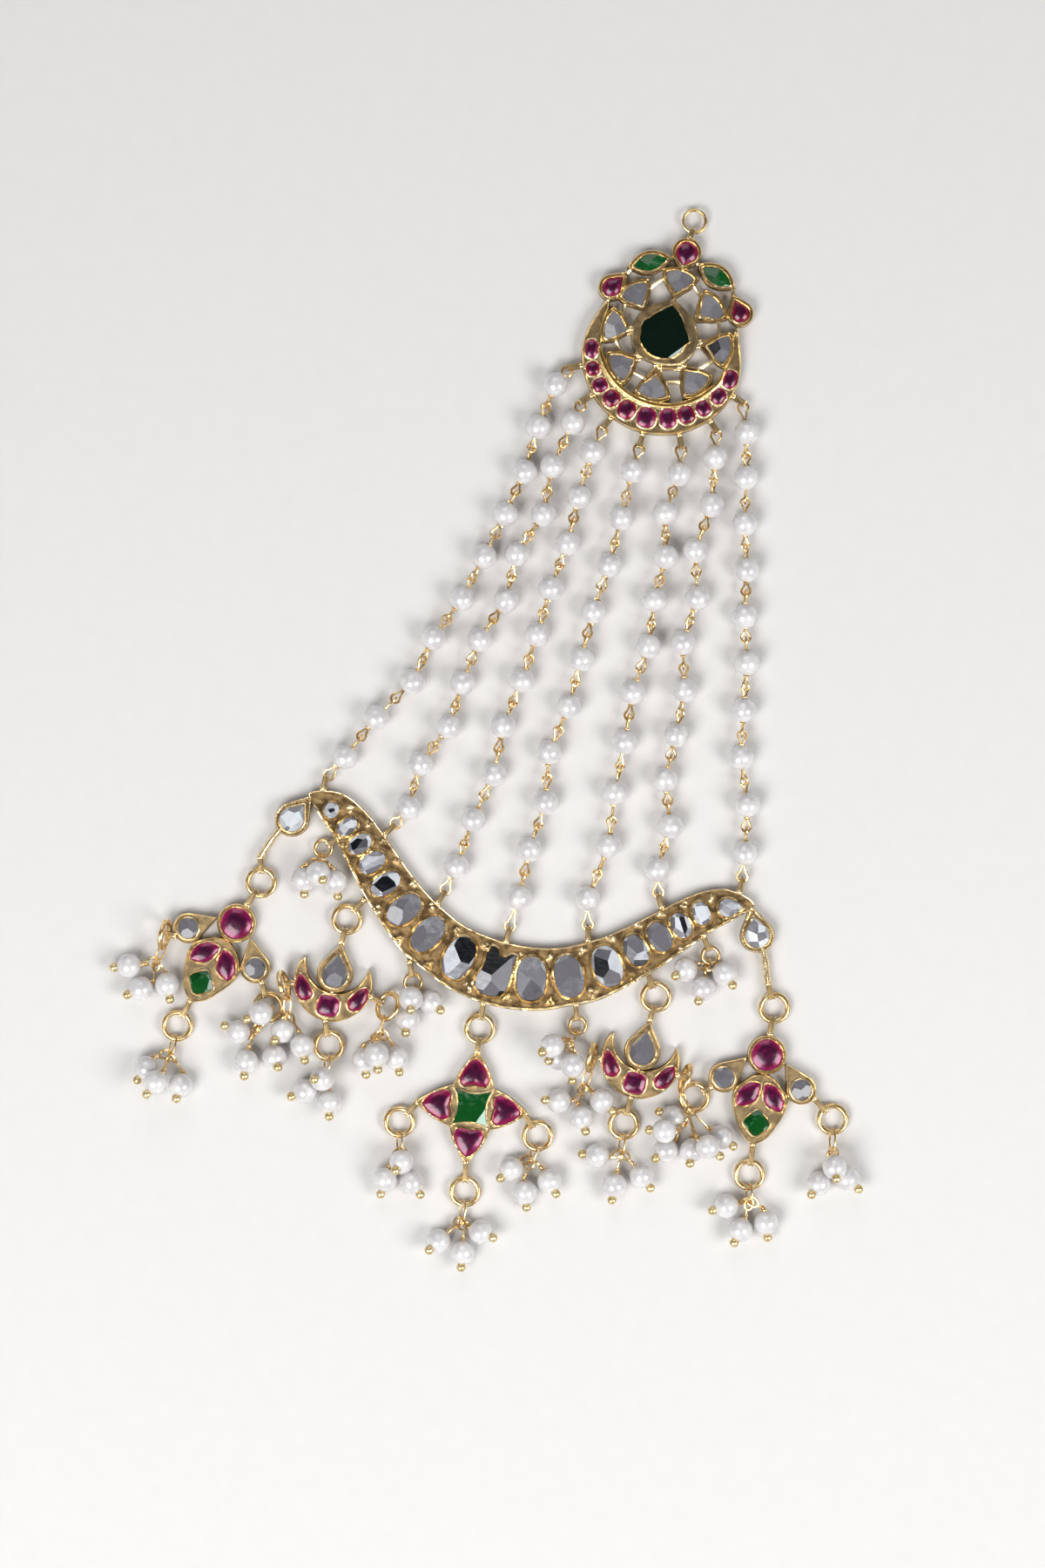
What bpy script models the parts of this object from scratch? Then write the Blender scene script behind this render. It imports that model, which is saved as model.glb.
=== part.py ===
"""Jhoomar: a side-head ornament of gilt castings, set stones and strings of pearls, lying flat.

Frame: the origin is on the flat back of the medallion, under its centre stone. +Y points to the
hanging ring on top, +Z out of the front, +X to the right as seen from the front. Everything is
drawn in millimetres and scaled to metres once, in add_piece. A heading is measured in degrees from
-Y, the way the ornament hangs, towards +X.
"""
import math
from typing import NamedTuple

import bmesh
import bpy
from mathutils import Matrix, Vector

MM = 0.001
UP = Vector((0.0, 0.0, 1.0))

# Driving sizes, mm
PLATE = 1.9                 # thickness of the cast plates
STONE_RISE = 0.6            # how far a set stone stands above its rim
TABLE = 0.5                 # scale of a stone's flat table
SEAT_GAP = 0.1              # between a loose stone and its seat

STRAP = 0.35                # thickness of a lug's strap
STRAP_WIDTH = 0.8
LUG_LOW, LUG_HIGH = 0.1, 1.8
HOLE_Z = (LUG_LOW + LUG_HIGH) / 2
LUG_ROOT = 0.5              # how deep a lug is soldered into its plate
PLAY = 0.05                 # between a ring's wire and the strap that it hangs on

RING_RADIUS, RING_WIRE = 2.12, 0.425
SMALL_RING_RADIUS, SMALL_RING_WIRE = 1.3, 0.3
TOP_RING_RADIUS, TOP_RING_WIRE = 1.78, 0.275
RING_SIDES, WIRE_SIDES = 10, 5
FLAT = math.radians(0.2)    # what counts as flat or straight

STRAND_PEARL = 2.0          # pearl radii
TASSEL_PEARL = 1.95
PEARL_GAP = 0.06
WIRE = 0.24                 # radius of the strands' wire
PIN = 0.15                  # radius of a tassel's head pins
HOOK_SPREAD = 0.95          # how far a strand's end hook stands beside its lug

MEDALLION_RIM = 12.9        # outer circle of the crescent
MEDALLION_RIM_Y = -2.93
CRESCENT_INNER = 10.3
CRESCENT_INNER_Y = -0.3
CENTRE_X = -0.4             # centre stone and its bezel
BAR_X = -1.2                # the bar's own mirror line


class Petal(NamedTuple):
    """A triangular setting round the centre stone: its bearing, its radius and what it faces.

    apex is its reach inwards, to the bezel that it is soldered to.
    """
    bearing: float
    radius: float
    facing: float
    apex: float


PETALS = (
    Petal(92, 8.70, 89, 2.9), Petal(141, 8.00, 132, 3.0), Petal(184, 8.25, 177, 2.8),
    Petal(227, 8.45, 221, 3.3), Petal(269, 8.45, 273, 4.0), Petal(314, 8.20, 321, 3.5),
    Petal(0, 8.45, 1, 3.8), Petal(46, 7.90, 52, 3.4),
)
PETAL_BRIDGES = ((7, 0), (0, 1), (1, 2), (6, 7))


class CrestStone(NamedTuple):
    """A setting of the crest. tip is the reach of a pear's point, or half a marquise's length."""
    shape: str
    x: float
    y: float
    turn: float
    radius: float
    tip: float


CREST = (
    CrestStone("pear", -0.20, 13.5, 180, 2.40, 3.00),
    CrestStone("marquise", -5.50, 10.6, 26, 1.95, 3.70),
    CrestStone("marquise", 5.30, 11.0, -19, 1.95, 3.60),
    CrestStone("pear", -10.40, 5.3, -32, 2.15, 3.60),
    CrestStone("pear", 10.40, 6.2, 36, 2.10, 3.50),
)
CREST_SOLDER = (
    ((-2.9, 11.9), (-1.5, 12.6)), ((2.6, 12.0), (1.2, 12.6)),
    ((-8.0, 9.3), (-9.0, 7.5)), ((8.0, 10.1), (8.9, 8.2)),
)


class Strand(NamedTuple):
    """Ten pearls from a medallion lug to a bar lug.

    first and last are the end pearls, crowd is how far the middle ones slip towards the
    medallion, and sways are the inner pearls' sideways places, all in mm.
    """
    lug_heading: float
    first: tuple
    last: tuple
    crowd: float
    sways: tuple
    bar_lug: tuple
    bar_lug_heading: float


STRANDS = (
    Strand(-67.8, (-15.3, -11.8), (-33.4, -77.1), 0.9,
           (0.9, 2.5, 3.2, 3.5, 3.8, 2.9, 3.4, 1.2), (-35.5, -83.0), 183),
    Strand(-45.7, (-11.2, -17.0), (-21.7, -82.4), -0.6,
           (-0.3, 1.4, 0.0, 1.3, -0.1, 0.1, 0.9, -1.0), (-24.4, -87.6), 149),
    Strand(-25.1, (-7.1, -20.7), (-12.1, -89.6), 0.5,
           (0.2, 0.8, 0.5, 0.7, 0.7, 0.1, 1.1, 0.2), (-13.6, -96.1), 163),
    Strand(0.0, (-0.2, -22.1), (-1.3, -92.0), 0.2,
           (0.2, 0.3, -0.3, -0.2, -0.1, -1.3, 0.2, -0.3), (-1.5, -99.4), 183),
    Strand(25.5, (7.1, -20.8), (9.3, -89.5), 2.9,
           (-0.9, 0.7, 0.4, 1.0, 0.1, 0.5, 0.7, 1.5), (11.0, -96.1), 194),
    Strand(49.1, (12.0, -16.9), (18.9, -82.4), -0.5,
           (0.5, -1.1, 0.3, -1.0, 0.3, 0.0, -0.8, 1.1), (21.1, -88.2), 210),
    Strand(72.7, (15.9, -11.8), (31.7, -76.5), 0.5,
           (-0.1, -0.3, 0.1, -0.2, 0.2, -0.3, -0.7, 0.4), (32.4, -82.9), 180),
)
STRAND_LUG_REACH = 2.6

# The bar's upper and lower edge, right of its mirror line
BAR_UPPER = ((3.0, -99.2), (8.5, -98.0), (10.6, -97.0), (14.3, -94.9), (17.5, -92.5),
             (21.0, -89.5), (24.8, -86.2), (28.0, -84.0), (31.5, -82.7), (36.4, -84.2))
BAR_LOWER = ((4.5, -109.3), (8.5, -108.3), (11.6, -106.9), (16.2, -104.7), (19.0, -102.4),
             (21.2, -100.4), (25.3, -96.2), (28.2, -92.9), (31.3, -89.4), (34.2, -86.8))


class BarStone(NamedTuple):
    """An oval stone on the bar's midline: its place, its size along the bar and across it."""
    x: float
    wide: float
    long: float


BAR_STONES = (
    BarStone(-33.4, 2.3, 2.5), BarStone(-30.4, 2.4, 3.6), BarStone(-27.8, 2.8, 4.0),
    BarStone(-25.2, 2.9, 4.6), BarStone(-22.3, 3.2, 5.1), BarStone(-18.5, 4.0, 6.1),
    BarStone(-13.9, 4.1, 6.5), BarStone(-8.2, 4.6, 7.1), BarStone(-2.1, 5.6, 7.9),
    BarStone(3.7, 4.9, 7.1), BarStone(9.4, 4.7, 6.8), BarStone(14.9, 4.6, 6.7),
    BarStone(18.9, 3.6, 5.2), BarStone(22.1, 3.5, 4.9), BarStone(24.9, 3.0, 4.2),
    BarStone(27.7, 2.7, 3.8), BarStone(31.3, 2.6, 3.4),
)

TEAR_X, TEAR_Y, TEAR_TURN = 38.0, -88.7, 26
TEAR_RADIUS, TEAR_TIP = 2.75, 5.0
ARM = ((39.3, -90.4), (40.7, -93.0), (41.4, -95.8))
ARM_WIDTH = 1.2


class Lug(NamedTuple):
    """A strap soldered upright to an edge, with a hole for a ring: its root, heading and reach."""
    x: float
    y: float
    heading: float
    reach: float


class Drop(NamedTuple):
    """A drop: the bar lug that carries its jump ring, its design and its turn about the ring."""
    bar_lug: Lug
    design: str
    turn: float


TOP_LUG = Lug(-0.2, 15.7, 180, 1.9)

DROPS = {
    "left_end": Drop(Lug(BAR_X - 41.4, -95.5, 14.6, 2.9), "end", -16.8),
    "left_moon": Drop(Lug(-25.0, -98.2, -27.0, 2.9), "moon", 1.7),
    "flower": Drop(Lug(-2.7, -109.5, 6.0, 2.9), "flower", 8.0),
    "right_moon": Drop(Lug(21.3, -98.5, 33.0, 2.9), "moon", 0.0),
    "right_end": Drop(Lug(BAR_X + 41.4, -95.5, 28.5, 2.9), "end", 5.1),
}


class Hanger(NamedTuple):
    """A drop's lug for a tassel: its root in the drop's own frame and its heading there.

    reach is the lug's length, and tilt lifts the far side of the tassel's ring, degrees.
    """
    x: float
    y: float
    heading: float
    reach: float
    tilt: float


class Pearl(NamedTuple):
    """A tassel pearl: its place, the heading of its head pin's tip and how far that looks up.

    rest is the height of what it lies on, where that is its own ring and not the floor.
    """
    x: float
    y: float
    aim: float
    lean: float
    rest: float = 0.0


class Tassel(NamedTuple):
    """Three pearls on a ring. The later pearls in a row rest on the earlier ones."""
    drop: str
    hanger: tuple
    pearls: tuple


TASSELS = {
    "left_end_tassel_outer": Tassel("left_end", Hanger(-7.3, -14.2, -69, 2.0, 78), (
        Pearl(-58.6, -117.4, -70, 0), Pearl(-55.9, -120.4, -51, 10), Pearl(-52.0, -118.8, 25, 10))),
    "left_end_tassel_tip": Tassel("left_end", Hanger(0.0, -21.7, 3, 3.3, 0), (
        Pearl(-52.0, -132.4, -22, 10), Pearl(-46.1, -133.8, -2, 30), Pearl(-49.9, -134.0, -21, 20))),
    "left_end_tassel_inner": Tassel("left_end", Hanger(8.1, -13.4, 45, 2.9, 0), (
        Pearl(-39.3, -123.4, -103, 10), Pearl(-36.9, -127.6, 7, 20),
        Pearl(-36.5, -119.5, -52, 10, 1.35))),
    "left_moon_tassel_outer": Tassel("left_moon", Hanger(-6.1, -11.6, -64, 1.9, 78), (
        Pearl(-32.5, -121.5, -25, 40), Pearl(-32.8, -125.8, 38, 45), Pearl(-28.9, -123.0, 25, 20))),
    "left_moon_tassel_tip": Tassel("left_moon", Hanger(0.0, -16.2, 20, 2.9, 0), (
        Pearl(-26.7, -129.9, -56, 10), Pearl(-22.6, -130.6, 14, 20), Pearl(-24.5, -127.2, -80, 60))),
    "left_moon_tassel_inner": Tassel("left_moon", Hanger(6.1, -11.2, 76, 2.6, 45), (
        Pearl(-18.9, -122.8, 22, 5), Pearl(-14.0, -121.3, 27, 20), Pearl(-17.1, -121.3, 19, 5))),
    "flower_tassel_left": Tassel("flower", Hanger(-8.5, -12.5, -37, 3.1, 0), (
        Pearl(-11.1, -140.4, -2, 0), Pearl(-6.9, -139.8, 50, 10), Pearl(-9.2, -136.9, -23, 50))),
    "flower_tassel_tip": Tassel("flower", Hanger(0.0, -21.0, 4, 3.6, 0), (
        Pearl(-0.5, -147.8, -35, 35), Pearl(3.6, -148.6, 9, 10), Pearl(5.6, -144.8, 82, 25))),
    "flower_tassel_right": Tassel("flower", Hanger(8.4, -12.5, 36, 2.9, 0), (
        Pearl(7.9, -133.9, -36, 20), Pearl(10.9, -137.0, 20, 0), Pearl(14.2, -134.3, 42, 20))),
    "right_moon_tassel_inner": Tassel("right_moon", Hanger(-6.1, -11.6, -88, 1.9, 78), (
        Pearl(12.6, -121.7, -83, 25), Pearl(16.7, -123.4, 32, 25), Pearl(19.2, -120.0, 61, 10))),
    "right_moon_tassel_tip": Tassel("right_moon", Hanger(0.0, -16.2, -1, 3.3, 0), (
        Pearl(20.6, -128.6, -82, 0), Pearl(24.4, -132.5, 4, 10), Pearl(28.2, -130.0, 50, 10))),
    "right_moon_tassel_outer": Tassel("right_moon", Hanger(6.1, -11.2, 85, 1.9, 80), (
        Pearl(34.9, -124.2, 5, 35), Pearl(38.9, -121.1, 69, 10), Pearl(37.1, -122.8, 66, 0))),
    "right_end_tassel_inner": Tassel("right_end", Hanger(-7.8, -13.8, -50, 2.0, 0), (
        Pearl(30.9, -125.1, -39, 30), Pearl(30.8, -119.9, -100, 0), Pearl(29.8, -122.0, -79, 0))),
    "right_end_tassel_tip": Tassel("right_end", Hanger(0.0, -21.7, 2, 3.7, 0), (
        Pearl(42.4, -131.4, -60, 10), Pearl(45.4, -134.5, -13, 20), Pearl(49.1, -132.4, 20, 0))),
    "right_end_tassel_outer": Tassel("right_end", Hanger(8.3, -13.1, 51, 3.3, 0), (
        Pearl(55.7, -124.4, -23, 30), Pearl(60.0, -122.6, 61, 20), Pearl(57.3, -121.1, 19, 45))),
    "bar_tassel_1": Tassel("", Lug(-31.0, -89.4, -42, 2.8), (
        Pearl(-35.1, -97.4, 17, 0), Pearl(-30.1, -96.5, 23, 0), Pearl(-32.9, -95.9, 54, 60))),
    "bar_tassel_2": Tassel("", Lug(-15.7, -105.9, 23, 2.8), (
        Pearl(-10.8, -111.4, 65, 35), Pearl(-13.7, -115.0, 6, 35), Pearl(-14.0, -111.5, 14, 45))),
    "bar_tassel_3": Tassel("", Lug(11.5, -106.1, 19, 2.9), (
        Pearl(11.0, -115.1, -66, 45), Pearl(9.4, -113.3, -46, 40), Pearl(13.3, -115.5, 12, 0))),
    "bar_tassel_4": Tassel("", Lug(28.5, -90.7, 34, 2.8), (
        Pearl(27.0, -96.7, -46, 40), Pearl(30.4, -98.9, -6, 30), Pearl(33.2, -95.8, 49, 25))),
}

# The designs of the drops, in a drop's own frame: origin at its jump ring's centre, -Y down
END_RUBY_Y, END_RUBY = -7.5, 3.1
END_WHITE_X, END_WHITE_Y, END_WHITE = 6.2, -12.1, 2.4
END_SHIELD = ((0.0, -10.3), (1.6, -11.0), (3.1, -12.2), (4.2, -13.6), (4.4, -15.1),
              (4.0, -16.8), (3.2, -18.6), (1.8, -20.8))
END_SHIELD_TIP = -22.0
MOON_PEAR_Y, MOON_PEAR, MOON_PEAR_TIP = -8.9, 2.9, 5.0
MOON_OUTER_Y, MOON_OUTER = -10.2, 6.25
MOON_INNER_Y, MOON_INNER = -6.9, 5.0
MOON_HORN = (5.0, -7.0)
FLOWER_Y, FLOWER_PETAL, FLOWER_CORNER, FLOWER_STONE = -12.5, 8.7, 3.3, 2.9
FLOWER_SIDE = ((2.3, 6.0),)


class Finish(NamedTuple):
    """A material's colour, how metallic it is and how rough."""
    color: tuple
    metallic: float
    roughness: float


FINISHES = {
    "gold": Finish((0.80, 0.56, 0.27), 1.0, 0.32),
    "gold_wire": Finish((0.78, 0.62, 0.34), 1.0, 0.25),
    "pearl": Finish((0.86, 0.84, 0.86), 0.0, 0.22),
    "polki": Finish((0.50, 0.51, 0.55), 0.3, 0.08),
    "emerald": Finish((0.01, 0.12, 0.05), 0.0, 0.06),
}


def heading_vector(degrees):
    """The flat unit vector of a heading: 0 is -Y, 90 is +X."""
    angle = math.radians(degrees)
    return Vector((math.sin(angle), -math.cos(angle), 0.0))


def spin(degrees):
    """A turn about Z."""
    return Matrix.Rotation(math.radians(degrees), 4, "Z")


def shift(x, y, z=0.0):
    """A move."""
    return Matrix.Translation((x, y, z))


# Outlines, each a list of (x, y) points

def ellipse(half_x, half_y, count):
    """An oval."""
    step = 2 * math.pi / count
    return [(half_x * math.cos(i * step), half_y * math.sin(i * step)) for i in range(count)]


def arc(radius, centre_y, start, end, count):
    """Points of an arc about (0, centre_y), between two angles in degrees."""
    angles = [math.radians(start + (end - start) * i / (count - 1)) for i in range(count)]
    return [(radius * math.cos(a), centre_y + radius * math.sin(a)) for a in angles]


def pear(radius, tip, count):
    """A teardrop: a round about the origin drawn out to a point at +Y."""
    tangent = math.degrees(math.acos(radius / tip))
    return [(0.0, tip)] + arc(radius, 0.0, 90 + tangent, 450 - tangent, count - 1)


def marquise(half_length, half_width, count):
    """A boat shape between two points on X."""
    half = count // 2
    side = [half_length * (1 - 2 * i / half) for i in range(half)]
    bulge = [half_width * (1 - (x / half_length) ** 2) for x in side]
    return list(zip(side, bulge)) + [(-x, -y) for x, y in zip(side, bulge)]


def petal_outline(apex):
    """A triangular petal: its apex at -Y, its outer side bowed."""
    half = [(1.8, -0.6), (3.0, 1.3), (1.6, 1.95)]
    return [(0.0, -apex)] + half + [(0.0, 2.2)] + [(-x, y) for x, y in reversed(half)]


def bezel_outline():
    """The centre stone's bezel: rounded, with a point on top."""
    half = [(1.6, 5.0), (3.6, 3.7), (5.0, 1.8), (5.4, -0.3), (4.9, -2.4), (3.5, -4.0)]
    return [(0.0, 6.1)] + [(-x, y) for x, y in half] + [(0.0, -4.8)] + list(reversed(half))


def emerald_outline(grow=0.0):
    """The centre stone: a kite of a rounded square, grown on every side for its seat."""
    half = [(1.7, 3.4), (3.3, 1.7), (3.9, -0.3), (3.0, -2.4), (1.6, -3.4)]
    points = [(0.0, 4.8)] + [(-x, y) for x, y in half] + [(0.0, -3.7)] + list(reversed(half))
    return [(x + grow * x / math.hypot(x, y), y + grow * y / math.hypot(x, y)) for x, y in points]


def strip_outline(points, width):
    """A band of one width along a path."""
    path = [Vector(p) for p in points]
    left, right = [], []
    for i, point in enumerate(path):
        run = (path[min(i + 1, len(path) - 1)] - path[max(i - 1, 0)]).normalized()
        side = Vector((-run.y, run.x)) * (width / 2)
        left.append(tuple(point + side))
        right.append(tuple(point - side))
    return left + right[::-1]


# Solids, each a mesh in millimetres

def take_mesh(built):
    """A mesh from a bmesh, its faces pointing out."""
    bmesh.ops.recalc_face_normals(built, faces=built.faces)
    mesh = bpy.data.meshes.new("solid")
    built.to_mesh(mesh)
    built.free()
    return mesh


def placed(mesh, matrix):
    """The same mesh, moved."""
    mesh.transform(matrix)
    return mesh


def flat(outlines, low, high):
    """A plate between two heights: a flat curve, its first outline outside and the rest holes."""
    curve = bpy.data.curves.new("outline", "CURVE")
    curve.dimensions = "2D"
    curve.fill_mode = "BOTH"
    curve.extrude = (high - low) / 2
    for outline in outlines:
        spline = curve.splines.new("POLY")
        spline.points.add(len(outline) - 1)
        for point, (x, y) in zip(spline.points, outline):
            point.co = (x, y, 0.0, 1.0)
        spline.use_cyclic_u = True
    drawn = bpy.data.objects.new("outline", curve)
    bpy.context.scene.collection.objects.link(drawn)
    graph = bpy.context.evaluated_depsgraph_get()
    mesh = bpy.data.meshes.new_from_object(drawn.evaluated_get(graph))
    bpy.data.objects.remove(drawn)
    built = bmesh.new()
    built.from_mesh(mesh)
    bmesh.ops.remove_doubles(built, verts=built.verts, dist=1e-4)
    bmesh.ops.translate(built, verts=built.verts, vec=(0.0, 0.0, (low + high) / 2))
    return take_mesh(built)


def bridge(built, first, second):
    """Faces between two sections; a decagon meets a pentagon in threes of triangles."""
    if len(first) == len(second):
        for i in range(len(first)):
            j = (i + 1) % len(first)
            built.faces.new((first[i], first[j], second[j], second[i]))
        return
    few, many = sorted((first, second), key=len)
    if len(few) == 1:
        for i in range(len(many)):
            built.faces.new((few[0], many[i], many[(i + 1) % len(many)]))
        return
    for i in range(len(few)):
        j = (i + 1) % len(few)
        before, at, after = (many[(2 * i + k) % len(many)] for k in (-1, 0, 1))
        built.faces.new((few[i], before, at))
        built.faces.new((few[i], at, after))
        built.faces.new((few[i], after, few[j]))


def loft(sections):
    """A closed skin over sections of 3-D points, each of 1, 5, 10 or one common number."""
    built = bmesh.new()
    rows = [[built.verts.new(point) for point in section] for section in sections]
    for first, second in zip(rows, rows[1:]):
        bridge(built, first, second)
    for end in (rows[0], rows[-1]):
        if len(end) > 2:
            built.faces.new(end)
    return take_mesh(built)


def stepped(outline, levels):
    """A solid of one outline at several levels, each a (scale, height)."""
    return loft([[(x * scale, y * scale, z) for x, y in outline] for scale, z in levels])


def set_stone(outline, plate=PLATE):
    """A setting with its stone: a wall, and the stone's crown up to its table."""
    return stepped(outline, ((1, 0.0), (1, plate), (TABLE, plate + STONE_RISE)))


def crown(outline, seat):
    """A stone that stands on a plate: its widest outline down, its table up."""
    return stepped(outline, ((1, seat - 0.4), (TABLE + 0.1, seat + STONE_RISE)))


def loose_stone(outline, seat):
    """A stone with a node of its own, seated just clear of its plate."""
    bottom = seat + SEAT_GAP
    return stepped(outline, ((1, bottom), (TABLE + 0.1, bottom + STONE_RISE + 0.2)))


def strut(start, end, width, high=PLATE - 0.2):
    """A straight bridge of metal between two places."""
    run = Vector(end) - Vector(start)
    built = bmesh.new()
    bmesh.ops.create_cube(built, size=1.0)
    middle = (Vector(start) + Vector(end)) / 2
    turn = Matrix.Rotation(math.atan2(run.y, run.x), 4, "Z")
    size = Matrix.Diagonal((run.length, width, high - 0.2, 1.0))
    bmesh.ops.transform(built, matrix=shift(middle.x, middle.y, high / 2 + 0.1) @ turn @ size,
                        verts=built.verts)
    return take_mesh(built)


def lug_solid(lug):
    """The strap of a lug: an upright loop whose hole runs level, across its heading."""
    outside = [(-LUG_ROOT, LUG_LOW), (lug.reach, LUG_LOW), (lug.reach, LUG_HIGH), (-LUG_ROOT, LUG_HIGH)]
    hole = [(0.25, LUG_LOW + STRAP), (lug.reach - STRAP, LUG_LOW + STRAP),
            (lug.reach - STRAP, LUG_HIGH - STRAP), (0.25, LUG_HIGH - STRAP)]
    ahead = heading_vector(lug.heading)
    across = ahead.cross(UP)
    upright = Matrix((ahead, UP, across)).transposed().to_4x4()
    return placed(flat((outside, hole), -STRAP_WIDTH / 2, STRAP_WIDTH / 2),
                  shift(lug.x, lug.y) @ upright)


def ring_place(lug, tilt, radius, wire):
    """Where a ring sits that hangs in a lug's hole: it is tilted about the hole."""
    ahead = heading_vector(lug.heading)
    inside = lug.reach - STRAP - PLAY - wire
    across = ahead.cross(UP)
    lean = Matrix.Rotation(math.radians(tilt), 4, across)
    reach = lean @ (ahead * radius)
    hole = Vector((lug.x, lug.y, HOLE_Z)) + ahead * inside
    return Matrix.Translation(hole + reach) @ lean @ spin(lug.heading)


def torus(radius, wire):
    """A closed ring, flat about the origin."""
    bpy.ops.mesh.primitive_torus_add(major_segments=RING_SIDES, minor_segments=WIRE_SIDES,
                                     major_radius=radius, minor_radius=wire)
    made = bpy.context.object
    mesh = made.data
    bpy.data.objects.remove(made)
    return mesh


def join(meshes):
    """One mesh of several shells."""
    built = bmesh.new()
    for mesh in meshes:
        built.from_mesh(mesh)
    joined = bpy.data.meshes.new("joined")
    built.to_mesh(joined)
    built.free()
    return joined


def may_collapse(vert, end):
    """Whether a point can slide onto its neighbour with every face staying flat and open."""
    ring = {edge.other_vert(vert) for edge in vert.link_edges}
    if len(ring & {edge.other_vert(end) for edge in end.link_edges}) != 2:
        return False
    for face in vert.link_faces:
        if end in face.verts:
            continue
        before = [v.co for v in face.verts]
        after = [end.co if v is vert else v.co for v in face.verts]
        was = (before[1] - before[0]).cross(before[2] - before[0])
        now = (after[1] - after[0]).cross(after[2] - after[0])
        if now.length < 0.01 or was.normalized().dot(now.normalized()) < math.cos(FLAT):
            return False
    return True


def drop_spare_points(built):
    """Take out the points that lie inside a flat face or along a straight edge."""
    bmesh.ops.triangulate(built, faces=built.faces)
    for vert in list(built.verts):
        creases = [edge for edge in vert.link_edges if edge.calc_face_angle(0.0) > FLAT]
        edges = creases or vert.link_edges
        ends = [edge.other_vert(vert) for edge in edges]
        if len(creases) not in (0, 2):
            continue
        if creases and (ends[0].co - vert.co).angle(vert.co - ends[1].co) > FLAT:
            continue
        ends.sort(key=lambda end: (end.co - vert.co).length)
        end = next((end for end in ends if may_collapse(vert, end)), None)
        if end is not None:
            bmesh.ops.weld_verts(built, targetmap={vert: end})


def fuse(meshes):
    """Solder shells that overlap into one closed body."""
    body = bpy.data.objects.new("body", meshes[0])
    rest = bpy.data.objects.new("rest", join(meshes[1:]))
    for piece in (body, rest):
        bpy.context.scene.collection.objects.link(piece)
    union = body.modifiers.new("solder", "BOOLEAN")
    union.operation = "UNION"
    union.solver = "EXACT"
    union.use_self = True
    union.object = rest
    graph = bpy.context.evaluated_depsgraph_get()
    mesh = bpy.data.meshes.new_from_object(body.evaluated_get(graph))
    for piece in (body, rest):
        bpy.data.objects.remove(piece)
    built = bmesh.new()
    built.from_mesh(mesh)
    bmesh.ops.remove_doubles(built, verts=built.verts, dist=1e-3)
    bmesh.ops.dissolve_degenerate(built, edges=built.edges, dist=1e-3)
    drop_spare_points(built)
    return take_mesh(built)


# Wires and pearls, as sections across a path

def section(centre, along, radius, sides):
    """A regular section across a direction, its first corner lowest."""
    side = along.cross(UP).normalized()
    top = side.cross(along).normalized()
    corners = [math.radians(-90 + 360 * i / sides) for i in range(sides)]
    return [centre + side * (radius * math.cos(a)) + top * (radius * math.sin(a)) for a in corners]


def pearl_sections(centre, along, radius, wire):
    """A pearl from its wire on: pentagons at the pole and shoulders, ten sides at the equator."""
    pole = math.sqrt(radius ** 2 - wire ** 2)
    shoulder = radius * math.sin(math.radians(45))
    return [
        section(centre - along * pole, along, wire, WIRE_SIDES),
        section(centre - along * shoulder, along, shoulder, WIRE_SIDES),
        section(centre, along, radius, RING_SIDES),
        section(centre + along * shoulder, along, shoulder, WIRE_SIDES),
    ]


def hook_sections(lug, hand):
    """A strand's end wire: beside its lug, back along it and through its hole."""
    ahead = heading_vector(lug.heading)
    beside = ahead.cross(UP) * hand
    hole = Vector((lug.x, lug.y, HOLE_Z)) + ahead * (lug.reach - STRAP - WIRE - 2 * PLAY)
    points = [hole - beside * (HOOK_SPREAD - 0.1), hole + beside * HOOK_SPREAD,
              hole + beside * HOOK_SPREAD + ahead * 1.3]
    runs = [(b - a).normalized() for a, b in zip(points, points[1:])]
    alongs = [runs[0], (runs[0] + runs[1]).normalized(), runs[1]]
    return [section(point, along, WIRE, WIRE_SIDES) for point, along in zip(points, alongs)]


def strand_places(strand):
    """The ten pearls' centres."""
    first, last = Vector(strand.first), Vector(strand.last)
    run = last - first
    along = run.normalized()
    aside = Vector((-along.y, along.x))
    sways = (0.0,) + strand.sways + (0.0,)
    places = []
    for i, sway in enumerate(sways):
        share = i / (len(sways) - 1)
        slip = strand.crowd * 4 * share * (1 - share)
        place = first + run * share - along * slip + aside * sway
        places.append(Vector((place.x, place.y, STRAND_PEARL)))
    return places


def medallion_lug(strand):
    """The lug on the crescent that carries a strand."""
    root = heading_vector(strand.lug_heading) * MEDALLION_RIM
    return Lug(root.x, MEDALLION_RIM_Y + root.y, strand.lug_heading, STRAND_LUG_REACH)


def bar_lug(strand):
    """The lug on the bar that a strand ends at."""
    return Lug(*strand.bar_lug, strand.bar_lug_heading, STRAND_LUG_REACH)


def strand_solid(strand):
    """A strand: its hook, ten pearls on wire, and the hook at the bar."""
    places = strand_places(strand)
    sections = hook_sections(medallion_lug(strand), 1)
    for i, place in enumerate(places):
        before = places[max(i - 1, 0)]
        after = places[min(i + 1, len(places) - 1)]
        along = (after - before).normalized()
        sections += pearl_sections(place, along, STRAND_PEARL, WIRE)
        pole = place + along * math.sqrt(STRAND_PEARL ** 2 - WIRE ** 2)
        sections.append(section(pole, along, WIRE, WIRE_SIDES))
    tail = hook_sections(bar_lug(strand), -1)
    for end in reversed(tail):
        sections.append(end[:1] + end[:0:-1])
    return loft(sections)


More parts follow.
